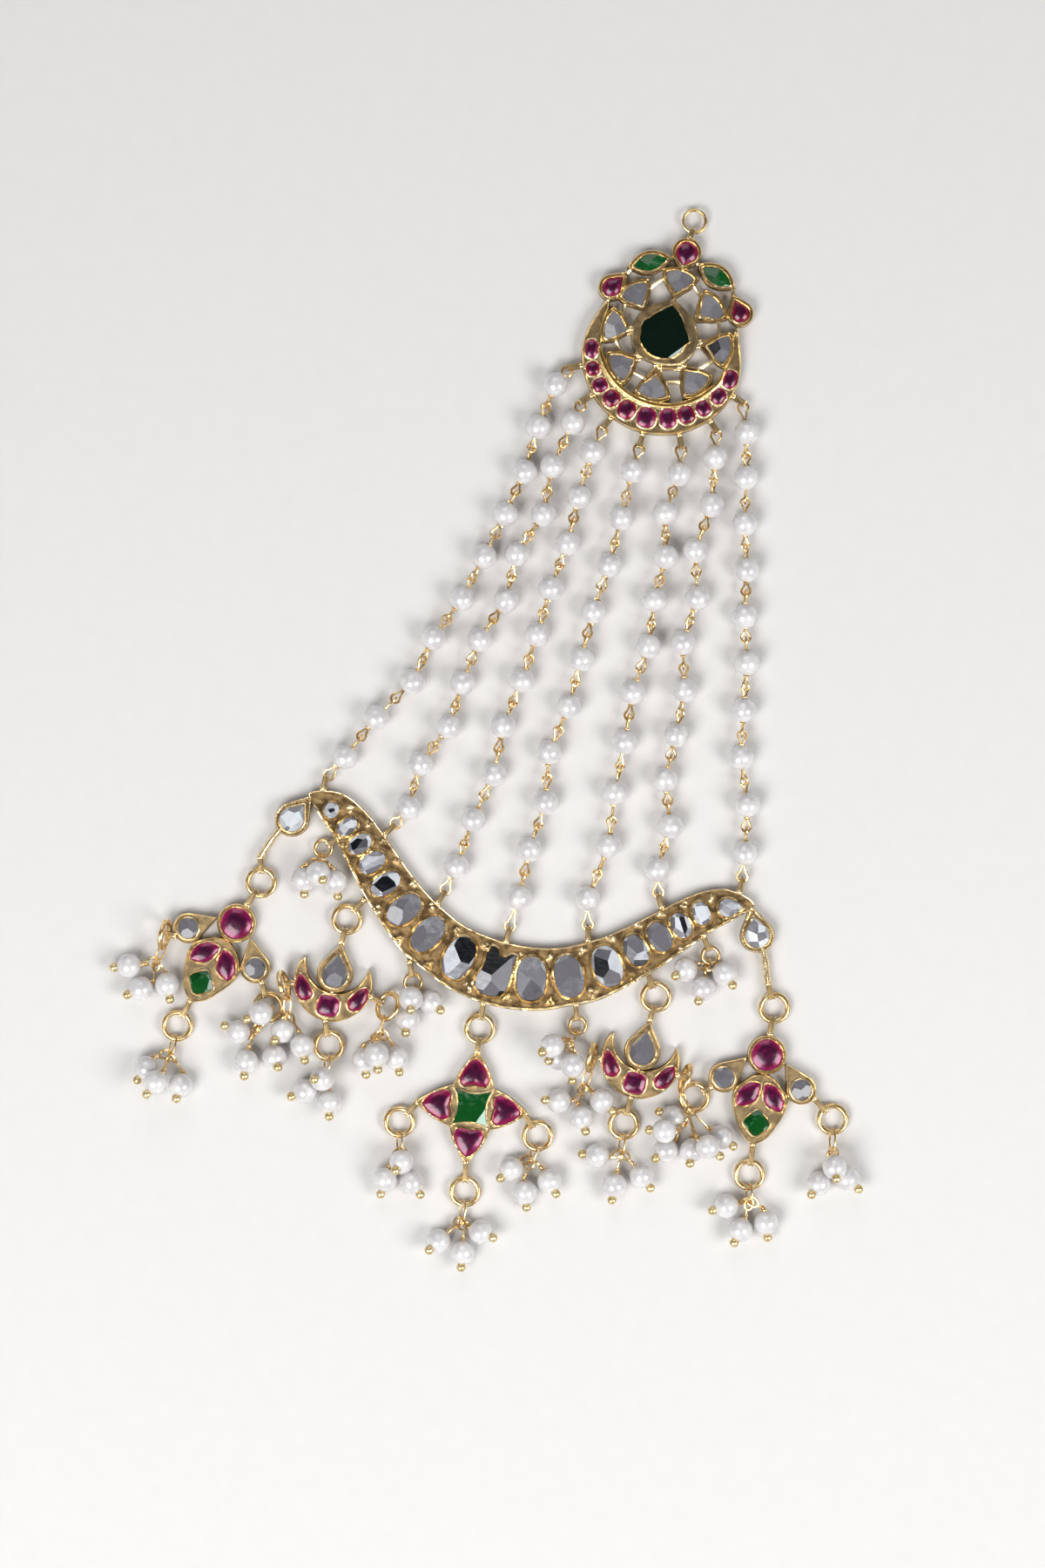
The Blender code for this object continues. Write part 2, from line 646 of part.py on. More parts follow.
def settle(pearls):
    """Heights of a tassel's pearls: on the floor, or on the earlier ones that they overlap."""
    reach = 2 * TASSEL_PEARL + PEARL_GAP
    placed_pearls = []
    for pearl in pearls:
        height = pearl.rest + TASSEL_PEARL
        for other in placed_pearls:
            apart = math.hypot(pearl.x - other.x, pearl.y - other.y)
            if apart < reach:
                height = max(height, other.z + math.sqrt(reach ** 2 - apart ** 2))
        placed_pearls.append(Vector((pearl.x, pearl.y, height)))
    return placed_pearls


def pin_root(place, radius, wire, slot, target):
    """Where a head pin leaves its ring, for a pearl at target.

    The slots are numbered round the ring, two on each of its straights, and the pin leaves
    through the middle of the face of the wire that looks most towards the pearl.
    """
    straight = math.radians(360 / RING_SIDES)
    half = radius * math.sin(straight / 2)
    turn = straight * (slot // 2 + 0.5)
    outward = Vector((math.cos(turn), math.sin(turn), 0.0))
    along = Vector((-outward.y, outward.x, 0.0))
    core = outward * (radius * math.cos(straight / 2)) + along * (half * (slot % 2 - 0.5))
    sight = place.inverted() @ target - core
    face = math.radians(360 / WIRE_SIDES)
    seen = math.atan2(sight.z, sight.dot(outward))
    tilt = face * (math.floor(seen / face) + 0.5)
    normal = outward * math.cos(tilt) + Vector((0.0, 0.0, math.sin(tilt)))
    return place @ (core + normal * (wire * math.cos(face / 2)))


def slot_towards(place, target, taken):
    """The free slot of a ring nearest to a pearl."""
    local = place.inverted() @ target
    bearing = math.degrees(math.atan2(local.y, local.x))
    slots = [slot for slot in range(2 * RING_SIDES) if slot not in taken]
    return min(slots, key=lambda slot: abs((18 * slot + 9 - bearing + 180) % 360 - 180))


def tassel_solid(place, radius, wire, pearls):
    """A ring with three pearls on head pins that are fixed in its far side."""
    shells = [placed(torus(radius, wire), place)]
    taken = set()
    for pearl, middle in zip(pearls, settle(pearls)):
        lift = math.radians(pearl.lean)
        along = heading_vector(pearl.aim) * math.cos(lift) + UP * math.sin(lift)
        pole = middle - along * TASSEL_PEARL
        slot = slot_towards(place, pole, taken)
        taken.add(slot)
        root = pin_root(place, radius, wire, slot, pole)
        run = (pole - root).normalized()
        sections = [section(root - run * (0.7 * wire), run, PIN, WIRE_SIDES),
                    section(pole, run, PIN, WIRE_SIDES)]
        sections += pearl_sections(middle, along, TASSEL_PEARL, PIN)[1:]
        sections.append([middle + along * TASSEL_PEARL])
        shells.append(loft(sections))
    return fuse(shells)


# The castings

def medallion_solid():
    """Crescent, bezel, petals, crest, bridges and lugs."""
    horn = [(12.35, -0.9), (11.6, 1.2), (10.7, 4.3)]
    headings = [strand.lug_heading for strand in STRANDS]
    between = [(a + b) / 2 for a, b in zip(headings, headings[1:])]
    crescent = [(-x, y) for x, y in reversed(horn)]
    for heading in [-81.0] + between + [81.0]:
        point = heading_vector(heading) * MEDALLION_RIM
        crescent.append((point.x, point.y + MEDALLION_RIM_Y))
    crescent += horn + arc(CRESCENT_INNER, CRESCENT_INNER_Y, 10, -190, 11)
    shells = [flat((crescent,), 0.0, PLATE)]
    bezel = [(x + CENTRE_X, y) for x, y in bezel_outline()]
    seat = [(x + CENTRE_X, y) for x, y in emerald_outline(SEAT_GAP)]
    shells.append(flat((bezel, seat), 0.7, PLATE + 0.3))
    shells.append(flat((bezel,), 0.0, 0.8))
    corners = []
    for petal in PETALS:
        angle = math.radians(petal.bearing)
        x, y = petal.radius * math.cos(angle), petal.radius * math.sin(angle)
        place = shift(x, y) @ spin(petal.facing - 90)
        shells.append(placed(set_stone(petal_outline(petal.apex)), place))
        corners.append([place @ Vector((side, 0.7, 0.0)) for side in (2.3, -2.3)])
    for here, after in PETAL_BRIDGES:
        shells.append(strut(corners[here][1].xy, corners[after][0].xy, 0.8))
    for stone in CREST:
        outline = pear(stone.radius, stone.tip, 8)
        if stone.shape == "marquise":
            outline = marquise(stone.tip, stone.radius, 8)
        shells.append(placed(set_stone(outline), shift(stone.x, stone.y) @ spin(stone.turn)))
    shells += [strut(start, end, 0.9) for start, end in CREST_SOLDER]
    shells += [lug_solid(medallion_lug(strand)) for strand in STRANDS]
    shells.append(lug_solid(TOP_LUG))
    return fuse(shells)


def edge_height(edge, x):
    """An edge's height at x, from the bar's mirror line."""
    points = [(-edge[0][0], edge[0][1])] + list(edge)
    for low, high in zip(points, points[1:]):
        if abs(x) <= high[0]:
            share = (abs(x) - low[0]) / (high[0] - low[0])
            return low[1] + (high[1] - low[1]) * share
    return edge[-1][1]


def bar_midline(x):
    """The height of the bar's midline at x, from its mirror line."""
    return (edge_height(BAR_UPPER, x) + edge_height(BAR_LOWER, x)) / 2


def bar_stone_place(stone):
    """A bar stone's place, its long axis across the bar."""
    x = stone.x - BAR_X
    rise = bar_midline(x + 1.0) - bar_midline(x - 1.0)
    turn = math.degrees(math.atan2(rise, 2.0))
    return shift(stone.x, bar_midline(x)) @ spin(turn)


def tear_place(hand):
    """The place of an end tear, its point towards the bar's tip."""
    return shift(BAR_X + hand * TEAR_X, TEAR_Y) @ spin(hand * TEAR_TURN)


def bar_solid():
    """The bar's plate with its end tears, arms and lugs."""
    right = list(BAR_UPPER) + list(BAR_LOWER[::-1])
    outline = right + [(-x, y) for x, y in reversed(right)]
    shells = [flat(([(x + BAR_X, y) for x, y in outline],), 0.0, PLATE)]
    for hand in (-1, 1):
        tear = pear(TEAR_RADIUS, TEAR_TIP, 8)
        shells.append(placed(flat((tear,), 0.0, PLATE), tear_place(hand)))
        arm = [(BAR_X + hand * x, y) for x, y in ARM]
        shells.append(flat((strip_outline(arm, ARM_WIDTH),), 0.0, PLATE - 0.1))
    shells += [lug_solid(bar_lug(strand)) for strand in STRANDS]
    shells += [lug_solid(drop.bar_lug) for drop in DROPS.values()]
    shells += [lug_solid(t.hanger) for t in TASSELS.values() if not t.drop]
    return fuse(shells)


def end_drop_shells():
    """A round ruby over a shield, with a small round stone on a tail at each side."""
    shells = [placed(set_stone(ellipse(END_RUBY, END_RUBY, 10)), shift(0.0, END_RUBY_Y))]
    shield = list(END_SHIELD) + [(0.0, END_SHIELD_TIP)]
    shield += [(-x, y) for x, y in reversed(END_SHIELD[1:])]
    shells.append(flat((shield,), 0.0, PLATE - 0.1))
    for hand in (-1, 1):
        white = set_stone(ellipse(END_WHITE, END_WHITE, 8), PLATE - 0.15)
        shells.append(placed(white, shift(hand * END_WHITE_X, END_WHITE_Y)))
        tail = [(2.6, -8.4), (6.6, -9.9), (4.3, -11.2)]
        shells.append(flat(([(hand * x, y) for x, y in tail],), 0.0, PLATE - 0.3))
        leaf = [(0.5, -12.4), (2.3, -12.6), (3.6, -13.9), (3.7, -15.2), (2.4, -15.8), (1.0, -15.3),
                (0.5, -14.6), (0.4, -13.5)]
        middle = (2.0, -14.2)
        stone = crown([(x - middle[0], y - middle[1]) for x, y in leaf], PLATE - 0.1)
        if hand < 0:
            stone.transform(Matrix.Diagonal((-1.0, 1.0, 1.0, 1.0)))
            stone.flip_normals()
        shells.append(placed(stone, shift(hand * middle[0], middle[1])))
    square = placed(crown(ellipse(2.0, 2.0, 8), PLATE - 0.1), shift(0.0, -18.3))
    return shells + [square]


def moon_drop_shells():
    """A pear stone standing in a crescent."""
    pear_setting = set_stone(pear(MOON_PEAR, MOON_PEAR_TIP, 8), PLATE + 0.1)
    shells = [placed(pear_setting, shift(0.0, MOON_PEAR_Y))]
    crescent = [MOON_HORN] + arc(MOON_INNER, MOON_INNER_Y, -18, -162, 6)
    crescent += [(-MOON_HORN[0], MOON_HORN[1])] + arc(MOON_OUTER, MOON_OUTER_Y, 160, 380, 10)
    shells.append(flat((crescent,), 0.0, PLATE - 0.1))
    shells.append(strut((0.0, -11.0), (0.0, -12.6), 2.0))
    for x, y, turn, across, length in ((0.0, -14.0, 0, 1.6, 1.6), (4.35, -12.0, -38, 1.2, 2.2),
                                       (-4.35, -12.0, 38, 1.2, 2.2)):
        shells.append(placed(crown(ellipse(across, length, 8), PLATE - 0.1), shift(x, y) @ spin(turn)))
    return shells


def flower_drop_shells():
    """Four petals round a square seat; each petal has a stone."""
    quarter = [(FLOWER_CORNER, FLOWER_CORNER)] + list(FLOWER_SIDE) + [(0.0, FLOWER_PETAL)]
    quarter += [(-x, y) for x, y in reversed(FLOWER_SIDE)]
    outline = []
    for turn in range(4):
        rotation = Matrix.Rotation(math.radians(90 * turn), 2)
        outline += [tuple(rotation @ Vector(point)) for point in quarter]
    shells = [placed(flat((outline,), 0.0, PLATE), shift(0.0, FLOWER_Y))]
    for turn in range(4):
        petal = shift(0.0, FLOWER_Y) @ spin(90 * turn) @ shift(0.0, 5.2)
        shells.append(placed(crown(pear(1.75, 2.5, 8), PLATE), petal))
    return shells


def flower_stone_outline():
    """A square with hollow sides."""
    corner, side = FLOWER_STONE, FLOWER_STONE * 0.78
    first = [(corner, corner), (0.0, side)]
    outline = []
    for turn in range(4):
        rotation = Matrix.Rotation(math.radians(90 * turn), 2)
        outline += [tuple(rotation @ Vector(point)) for point in first]
    return outline


DESIGNS = {"end": end_drop_shells, "moon": moon_drop_shells, "flower": flower_drop_shells}
DESIGN_TOPS = {"end": END_RUBY_Y + END_RUBY, "moon": MOON_PEAR_Y + MOON_PEAR_TIP,
               "flower": FLOWER_Y + FLOWER_PETAL}


def drop_place(drop):
    """A drop's frame in the object: at its jump ring's centre, turned."""
    centre = ring_place(drop.bar_lug, 0, RING_RADIUS, RING_WIRE).translation
    return shift(centre.x, centre.y) @ spin(drop.turn)


def drop_solid(name, drop):
    """A drop's casting with its eye on top and its lugs for tassels."""
    eye_end = -(RING_RADIUS - RING_WIRE - PLAY - STRAP)
    root = DESIGN_TOPS[drop.design]
    shells = DESIGNS[drop.design]()
    shells.append(lug_solid(Lug(0.0, root, 180, eye_end - root)))
    for tassel in TASSELS.values():
        if tassel.drop == name:
            hanger = tassel.hanger
            shells.append(lug_solid(Lug(hanger.x, hanger.y, hanger.heading, hanger.reach)))
    return fuse(shells)


def tassel_ring(tassel):
    """The place, radius and wire of the ring that a tassel hangs on."""
    if not tassel.drop:
        size = (SMALL_RING_RADIUS, SMALL_RING_WIRE)
        return ring_place(tassel.hanger, 0, *size), *size
    drop = DROPS[tassel.drop]
    hanger = tassel.hanger
    root = drop_place(drop) @ Vector((hanger.x, hanger.y, 0.0))
    lug = Lug(root.x, root.y, hanger.heading + drop.turn, hanger.reach)
    return ring_place(lug, hanger.tilt, RING_RADIUS, RING_WIRE), RING_RADIUS, RING_WIRE


# The assembly

def material(name):
    """One Principled material for each finish."""
    if name in bpy.data.materials:
        return bpy.data.materials[name]
    finish = FINISHES[name]
    made = bpy.data.materials.new(name)
    made.use_nodes = True
    shader = made.node_tree.nodes["Principled BSDF"]
    shader.inputs["Base Color"].default_value = (*finish.color, 1.0)
    shader.inputs["Metallic"].default_value = finish.metallic
    shader.inputs["Roughness"].default_value = finish.roughness
    return made


class Assembly:
    """The collection that holds every piece, and the empty that carries them."""

    def __init__(self, name):
        """Start an empty collection with its root."""
        self.collection = bpy.data.collections.new(name)
        bpy.context.scene.collection.children.link(self.collection)
        self.root = bpy.data.objects.new(name + "_root", None)
        self.collection.objects.link(self.root)

    def add_piece(self, name, mesh, finish, place=None, round_piece=False):
        """Add a piece: its mesh in mm about its own place, scaled to metres here."""
        place = place or Matrix.Identity(4)
        mesh.transform(Matrix.Scale(MM, 4))
        mesh.name = name
        mesh.materials.clear()
        mesh.materials.append(material(finish))
        if round_piece:
            mesh.shade_smooth()
            mesh.set_sharp_from_angle(angle=math.radians(50))
        piece = bpy.data.objects.new(name, mesh)
        piece.location = place.translation * MM
        piece.rotation_euler = place.to_euler()
        piece.parent = self.root
        self.collection.objects.link(piece)
        return piece


def clear_scene():
    """Remove what the file opens with."""
    for thing in list(bpy.data.objects):
        bpy.data.objects.remove(thing)


def build():
    """Make every piece of the jhoomar."""
    clear_scene()
    jhoomar = Assembly("jhoomar")
    jhoomar.add_piece("medallion", medallion_solid(), "gold")
    jhoomar.add_piece("centre_emerald",
                      stepped(emerald_outline(), ((1, 0.8 + SEAT_GAP), (1, 1.9), (TABLE, 2.7))),
                      "emerald", shift(CENTRE_X, 0.0))
    jhoomar.add_piece("hanging_ring", torus(TOP_RING_RADIUS, TOP_RING_WIRE), "gold_wire",
                      ring_place(TOP_LUG, 0, TOP_RING_RADIUS, TOP_RING_WIRE), True)
    for number, strand in enumerate(STRANDS, 1):
        jhoomar.add_piece(f"pearl_strand_{number}", strand_solid(strand), "pearl", None, True)

    jhoomar.add_piece("crescent_bar", bar_solid(), "gold")
    for number, stone in enumerate(BAR_STONES, 1):
        outline = ellipse(stone.wide / 2, stone.long / 2, 8)
        jhoomar.add_piece(f"bar_stone_{number:02d}", loose_stone(outline, PLATE), "polki",
                          bar_stone_place(stone))
    for side, hand in (("left", -1), ("right", 1)):
        outline = pear(TEAR_RADIUS * 0.72, TEAR_TIP * 0.62, 8)
        jhoomar.add_piece(f"end_stone_{side}", loose_stone(outline, PLATE), "polki",
                          tear_place(hand))

    for name, drop in DROPS.items():
        jhoomar.add_piece(name + "_ring", torus(RING_RADIUS, RING_WIRE), "gold_wire",
                          ring_place(drop.bar_lug, 0, RING_RADIUS, RING_WIRE), True)
        jhoomar.add_piece(name + "_drop", drop_solid(name, drop), "gold", drop_place(drop))
    jhoomar.add_piece("flower_emerald", loose_stone(flower_stone_outline(), PLATE), "emerald",
                      drop_place(DROPS["flower"]) @ shift(0.0, FLOWER_Y))

    for name, tassel in TASSELS.items():
        place, radius, wire = tassel_ring(tassel)
        centre = place.translation
        solid = tassel_solid(place, radius, wire, tassel.pearls)
        solid.transform(Matrix.Translation(-centre))
        jhoomar.add_piece(name, solid, "pearl", Matrix.Translation(centre), True)


if __name__ == "__main__":
    build()
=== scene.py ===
"""Dressed jhoomar: gilt castings, set stones, strung pearls and bunches of pearls.

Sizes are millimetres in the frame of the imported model, whose origin is on the back of the
medallion: +Y points to the hanging ring, +Z out of the front. A heading is measured in degrees
from -Y, the way the ornament hangs, towards +X, and a bearing from +X towards +Y.
"""
from __future__ import annotations

import logging
import math
from dataclasses import dataclass, field
from enum import Enum
from typing import Callable, ClassVar

import bmesh
import bpy
import numpy as np
from mathutils import Matrix, Vector
from mathutils.geometry import delaunay_2d_cdt

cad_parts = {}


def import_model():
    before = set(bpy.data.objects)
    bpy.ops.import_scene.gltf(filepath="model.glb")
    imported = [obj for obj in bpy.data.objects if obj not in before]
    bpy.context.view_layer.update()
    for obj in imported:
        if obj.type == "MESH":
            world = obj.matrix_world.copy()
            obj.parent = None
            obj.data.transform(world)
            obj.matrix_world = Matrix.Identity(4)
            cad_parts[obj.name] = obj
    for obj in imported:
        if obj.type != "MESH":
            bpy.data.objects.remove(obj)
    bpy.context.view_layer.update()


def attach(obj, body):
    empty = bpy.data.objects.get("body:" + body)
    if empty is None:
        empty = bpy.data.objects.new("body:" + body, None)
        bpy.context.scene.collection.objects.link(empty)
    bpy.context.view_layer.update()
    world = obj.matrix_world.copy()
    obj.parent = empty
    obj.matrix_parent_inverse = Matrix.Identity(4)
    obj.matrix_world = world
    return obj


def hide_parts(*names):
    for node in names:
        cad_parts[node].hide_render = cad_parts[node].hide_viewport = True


log = logging.getLogger("jhoomar")

MM = 0.001
UP = Vector((0.0, 0.0, 1.0))
BODY = "root"

RIM, RIM_Y = 12.9, -2.93            # the medallion's outer circle: radius, height of its middle
LUG_LOW, LUG_HIGH = 0.1, 1.8
HOLE_Z = (LUG_LOW + LUG_HIGH) / 2
STRAP = 0.35                        # thickness of a lug's ribbon
STRAP_UNIT = 2.6                    # reach of the strap that every lug is scaled from
PLAY = 0.05                         # between a ring and the lug that it hangs in
RING, RING_WIRE = 2.12, 0.425
SMALL_RING, SMALL_WIRE = 1.3, 0.3
TOP_RING, TOP_WIRE = 1.78, 0.275
STRAND_PEARL, TASSEL_PEARL, PEARL_GAP = 2.0, 1.95, 0.06
STRAND_WIRE, PIN_WIRE = 0.2, 0.19
TIP = 0.74                          # radius of a head pin's ball
ROOF = 7.1                          # top of the highest pearls and wires
SPACING = 0.2                       # between the points of an outline
HIDDEN = 1.2                        # foot of a set stone, inside its casting
THIN_RIM = (0.14, 0.18, 0.3)        # depth, width and height of a small setting's rim

Points = np.ndarray
Pair = tuple[float, float]
Faces = list[tuple[int, ...]]
Triple = tuple[float, float, float]
Facet = tuple[float, float, float, float]   # bearing, slope, start out from the middle, painted reflection tone
Plane = tuple[Vector, Vector, float]        # a place on it, its direction and its painted reflection tone
Mesh, Material, Socket = bpy.types.Mesh, bpy.types.Material, bpy.types.NodeSocket


# Directions and places

def heading_vector(degrees: float) -> Vector:
    """The flat unit vector of a heading."""
    angle = math.radians(degrees)
    return Vector((math.sin(angle), -math.cos(angle), 0.0))


def spin(degrees: float) -> Matrix:
    """A turn about Z."""
    return Matrix.Rotation(math.radians(degrees), 4, "Z")


def shift(x: float, y: float) -> Matrix:
    """A move in the plane."""
    return Matrix.Translation((x, y, 0.0))


def frame_of(along: Vector, lean: float = 0.0) -> tuple[Vector, Vector]:
    """Two directions square to a third.

    Args:
        along: the third direction.
        lean: their turn about it, degrees.

    Returns:
        The first and the second direction.
    """
    side = along.cross(UP)
    side = side.normalized() if side.length > 1e-4 else Vector((1.0, 0.0, 0.0))
    top = side.cross(along).normalized()
    cos, sin = math.cos(math.radians(lean)), math.sin(math.radians(lean))
    return side * cos + top * sin, top * cos - side * sin


def around(centre: Vector, first: Vector, second: Vector, start: float, sweep: float, steps: int,
           drift: Vector | None = None, shrink: float = 0.0) -> list[Vector]:
    """Points on a turn about a centre.

    Args:
        centre: its middle.
        first: from the middle to 0 degrees.
        second: from the middle to 90 degrees.
        start: where it starts, degrees.
        sweep: how far it turns, degrees.
        steps: how many steps it takes.
        drift: how far the middle moves on the way.
        shrink: share of its size that it loses on the way.

    Returns:
        The points, both ends among them.
    """
    points = []
    for step in range(steps + 1):
        share = step / steps
        angle = math.radians(start + sweep * share)
        out = first * math.cos(angle) + second * math.sin(angle)
        points.append(centre + out * (1 - shrink * share) + (drift or Vector()) * share)
    return points


def ripple(points: Points, grain: float, seed: float = 0.0) -> Points:
    """A smooth uneven value for each point, about -1 to 1.

    Args:
        points: places.
        grain: size of the unevenness.
        seed: another number gives another pattern.

    Returns:
        One value for each point.
    """
    x, y = points[:, 0] / grain, points[:, 1] / grain
    waves = np.sin(1.9 * x + 1.3 * y + seed) + np.sin(-1.1 * x + 2.3 * y + 2.1 * seed)
    waves += np.sin(2.7 * x - 0.7 * y + 3.7 * seed) + np.sin(0.6 * x + 3.1 * y - seed)
    return waves / 3


def bump(distance: Points, centre: float, width: float) -> Points:
    """A smooth ridge: 1 at a distance from a line, 0 beyond its width."""
    return np.clip(1 - ((distance - centre) / width) ** 2, 0, 1) ** 2


def ramp(value: Points, start: float, length: float) -> Points:
    """0 before a value and 1 beyond it, by an even slope of some length."""
    return np.clip((value - start) / length, 0, 1)


# Outlines, closed and anticlockwise

def mirrored(half: list[Pair]) -> list[Pair]:
    """The same points on the other side of Y, in reverse order."""
    return [(-x, y) for x, y in reversed(half)]


def arc(radius: float, height: float, bearings: range) -> list[Pair]:
    """Points of a circle whose middle is on Y."""
    turns = [math.radians(bearing) for bearing in bearings]
    return [(radius * math.cos(turn), height + radius * math.sin(turn)) for turn in turns]


def anticlockwise(loop: Points) -> Points:
    """The same outline, turned anticlockwise."""
    after = np.roll(loop, -1, axis=0)
    area = np.sum(loop[:, 0] * after[:, 1] - loop[:, 1] * after[:, 0])
    return loop if area > 0 else loop[::-1].copy()


def smooth_loop(points: list[Pair], sharp: tuple[int, ...] = (), spacing: float = 0.22) -> Points:
    """A closed curve through points, smooth but at its corners.

    Args:
        points: places that the curve passes through.
        sharp: which of them are corners.
        spacing: distance between the curve's own points.

    Returns:
        The curve's points.
    """
    knots = np.array(points, float)
    count = len(knots)
    runs = np.roll(knots, -1, axis=0) - knots
    lengths = np.hypot(*runs.T)
    chords = runs / lengths[:, None]
    behind, last = np.roll(chords, 1, axis=0), np.roll(lengths, 1)
    slopes = behind + (chords - behind) * (last / (last + lengths))[:, None]
    curve = []
    for i in range(count):
        j = (i + 1) % count
        start, end = slopes[i], slopes[j]
        if i in sharp:
            start = chords[i] if j in sharp else 2 * chords[i] - slopes[j]
        if j in sharp:
            end = chords[i] if i in sharp else 2 * chords[i] - slopes[i]
        steps = max(2, round(lengths[i] / spacing))
        t = (np.arange(steps) / steps)[:, None]
        curve.append((2 * t ** 3 - 3 * t ** 2 + 1) * knots[i]
                     + (t ** 3 - 2 * t ** 2 + t) * lengths[i] * start
                     + (3 * t ** 2 - 2 * t ** 3) * knots[j]
                     + (t ** 3 - t ** 2) * lengths[i] * end)
    return anticlockwise(np.vstack(curve))


def oval(half_x: float, half_y: float, square: float = 2.0) -> Points:
    """An oval about the origin.

    Args:
        half_x: half its width.
        half_y: half its height.
        square: above 2 its corners are fuller.

    Returns:
        Its points.
    """
    count = max(20, round(2 * math.pi * max(half_x, half_y) / SPACING))
    turns = np.linspace(0, 2 * math.pi, count, endpoint=False)
    cos, sin = np.cos(turns), np.sin(turns)
    power = 2 / square
    return np.stack((half_x * np.sign(cos) * np.abs(cos) ** power,
                     half_y * np.sign(sin) * np.abs(sin) ** power), axis=1)


def pear(radius: float, tip: float) -> Points:
    """A teardrop about the origin, drawn out to a point.

    Args:
        radius: of its round end.
        tip: how far up Y its point is.

    Returns:
        Its points.
    """
    tangent = math.acos(radius / tip)
    turns = np.linspace(math.pi / 2 + tangent, 5 * math.pi / 2 - tangent,
                        max(16, round(5 * radius / SPACING)))
    round_end = np.stack((radius * np.cos(turns), radius * np.sin(turns)), axis=1)
    steps = max(3, round(math.sqrt(tip ** 2 - radius ** 2) / SPACING))
    shares = np.linspace(0, 1, steps, endpoint=False)[:, None]
    point = np.array((0.0, tip))
    left = point + (round_end[0] - point) * shares
    right = round_end[-1] + (point - round_end[-1]) * shares
    return anticlockwise(np.vstack((left, round_end[:-1], right)))


def marquise(half_length: float, half_width: float) -> Points:
    """A boat shape between two points on X."""
    x = np.linspace(-half_length, half_length, round(2 * half_length / SPACING))
    lower = np.stack((x, -half_width * (1 - (x / half_length) ** 2)), axis=1)
    upper = (lower * (1, -1))[::-1]
    return np.vstack((lower[:-1], upper[:-1]))


def set_at(loop: Points, place: Matrix) -> Points:
    """An outline moved and turned in its plane."""
    turn = np.array([row[:2] for row in place[:2]])
    return loop @ turn.T + np.array((place[0][3], place[1][3]))


def distance_to(points: Points, loop: Points) -> Points:
    """Signed distance from points to an outline.

    Args:
        points: places.
        loop: a closed outline.

    Returns:
        Distances in mm, negative inside.
    """
    batch = 2000
    runs = np.roll(loop, -1, axis=0) - loop
    squares = np.maximum(np.sum(runs ** 2, axis=1), 1e-12)
    slope = runs[:, 0] / np.where(np.abs(runs[:, 1]) < 1e-12, 1e-12, runs[:, 1])
    found = np.empty(len(points))
    for low in range(0, len(points), batch):
        part = points[low:low + batch, None, :] - loop[None]
        share = np.clip(np.sum(part * runs[None], axis=2) / squares, 0, 1)
        apart = np.min(np.sum((part - share[..., None] * runs[None]) ** 2, axis=2), axis=1)
        rises = (part[..., 1] >= 0) != (part[..., 1] - runs[None, :, 1] >= 0)
        crosses = rises & (part[..., 0] < part[..., 1] * slope[None])
        inside = np.sum(crosses, axis=1) % 2 == 1
        found[low:low + batch] = np.where(inside, -1, 1) * np.sqrt(apart)
    return found


def offset(loop: Points, distance: float) -> Points:
    """Points beside an outline, outside it where the distance is positive."""
    along = np.roll(loop, -1, axis=0) - np.roll(loop, 1, axis=0)
    along /= np.maximum(np.hypot(*along.T), 1e-9)[:, None]
    beside = loop + distance * np.stack((along[:, 1], -along[:, 0]), axis=1)
    return beside[np.abs(distance_to(beside, loop)) > abs(distance) - 0.02]


def inset(loop: Points, depth: float, count: int = 48, centre: Points | None = None) -> Points:
    """An outline drawn in by an even depth, corners kept.

    Args:
        loop: an outline that is seen whole from its middle.
        depth: how far it is drawn in.
        count: points of the new outline.
        centre: where the rays start, or its own middle.

    Returns:
        The smaller outline.
    """
    middle = loop.mean(axis=0) if centre is None else centre
    rays = loop - middle
    turns = np.sort(np.arctan2(rays[:, 1], rays[:, 0]))
    corners = np.interp(np.linspace(0, len(turns) - 1, count), np.arange(len(turns)), turns)
    ways = np.stack((np.cos(corners), np.sin(corners)), axis=1)
    near, far = np.zeros(len(ways)), np.full(len(ways), np.max(np.hypot(*rays.T)))
    for _ in range(18):
        tried = (near + far) / 2
        deep = distance_to(middle + ways * tried[:, None], loop) < -depth
        near, far = np.where(deep, tried, near), np.where(deep, far, tried)
    drawn = middle + ways * near[:, None]
    return drawn[:-1] if np.allclose(drawn[0], drawn[-1], atol=0.02) else drawn


# Shells: parts of a mesh, in millimetres

@dataclass
class Shell:
    """Points and faces, with how polished each point is and each face's tone: a ruby's hue, a cut
    facet's painted reflection.
    """
    points: Points
    faces: Faces
    polish: Points | float = 0.5
    tone: Points | float = 0.5

    def moved(self, place: Matrix) -> Shell:
        """The same shell, moved."""
        turn = np.array([row[:3] for row in place[:3]])
        self.points = self.points @ turn.T + np.array([row[3] for row in place[:3]])
        return self


def merged(shells: list[Shell]) -> Shell:
    """Several shells as one.

    Args:
        shells: the shells.

    Returns:
        Their points, faces, polishes, and hues and painted reflection tones in order.
    """
    points, faces, polish, tone = [], [], [], []
    start = 0
    for shell in shells:
        points.append(shell.points)
        faces += [tuple(i + start for i in face) for face in shell.faces]
        polish.append(np.broadcast_to(shell.polish, len(shell.points)))
        tone.append(np.broadcast_to(shell.tone, len(shell.faces)))
        start += len(shell.points)
    return Shell(np.vstack(points), faces, np.concatenate(polish), np.concatenate(tone))


def skin(rows: int, sides: int, closed: bool = False) -> Faces:
    """Faces that join rows of points.

    Args:
        rows: how many rows there are.
        sides: points of a row, which closes on itself.
        closed: whether the last row joins the first.

    Returns:
        The faces.
    """
    faces = []
    for i in range(rows if closed else rows - 1):
        for k in range(sides):
            j, m = (i + 1) % rows, (k + 1) % sides
            faces.append((i * sides + k, i * sides + m, j * sides + m, j * sides + k))
    return faces


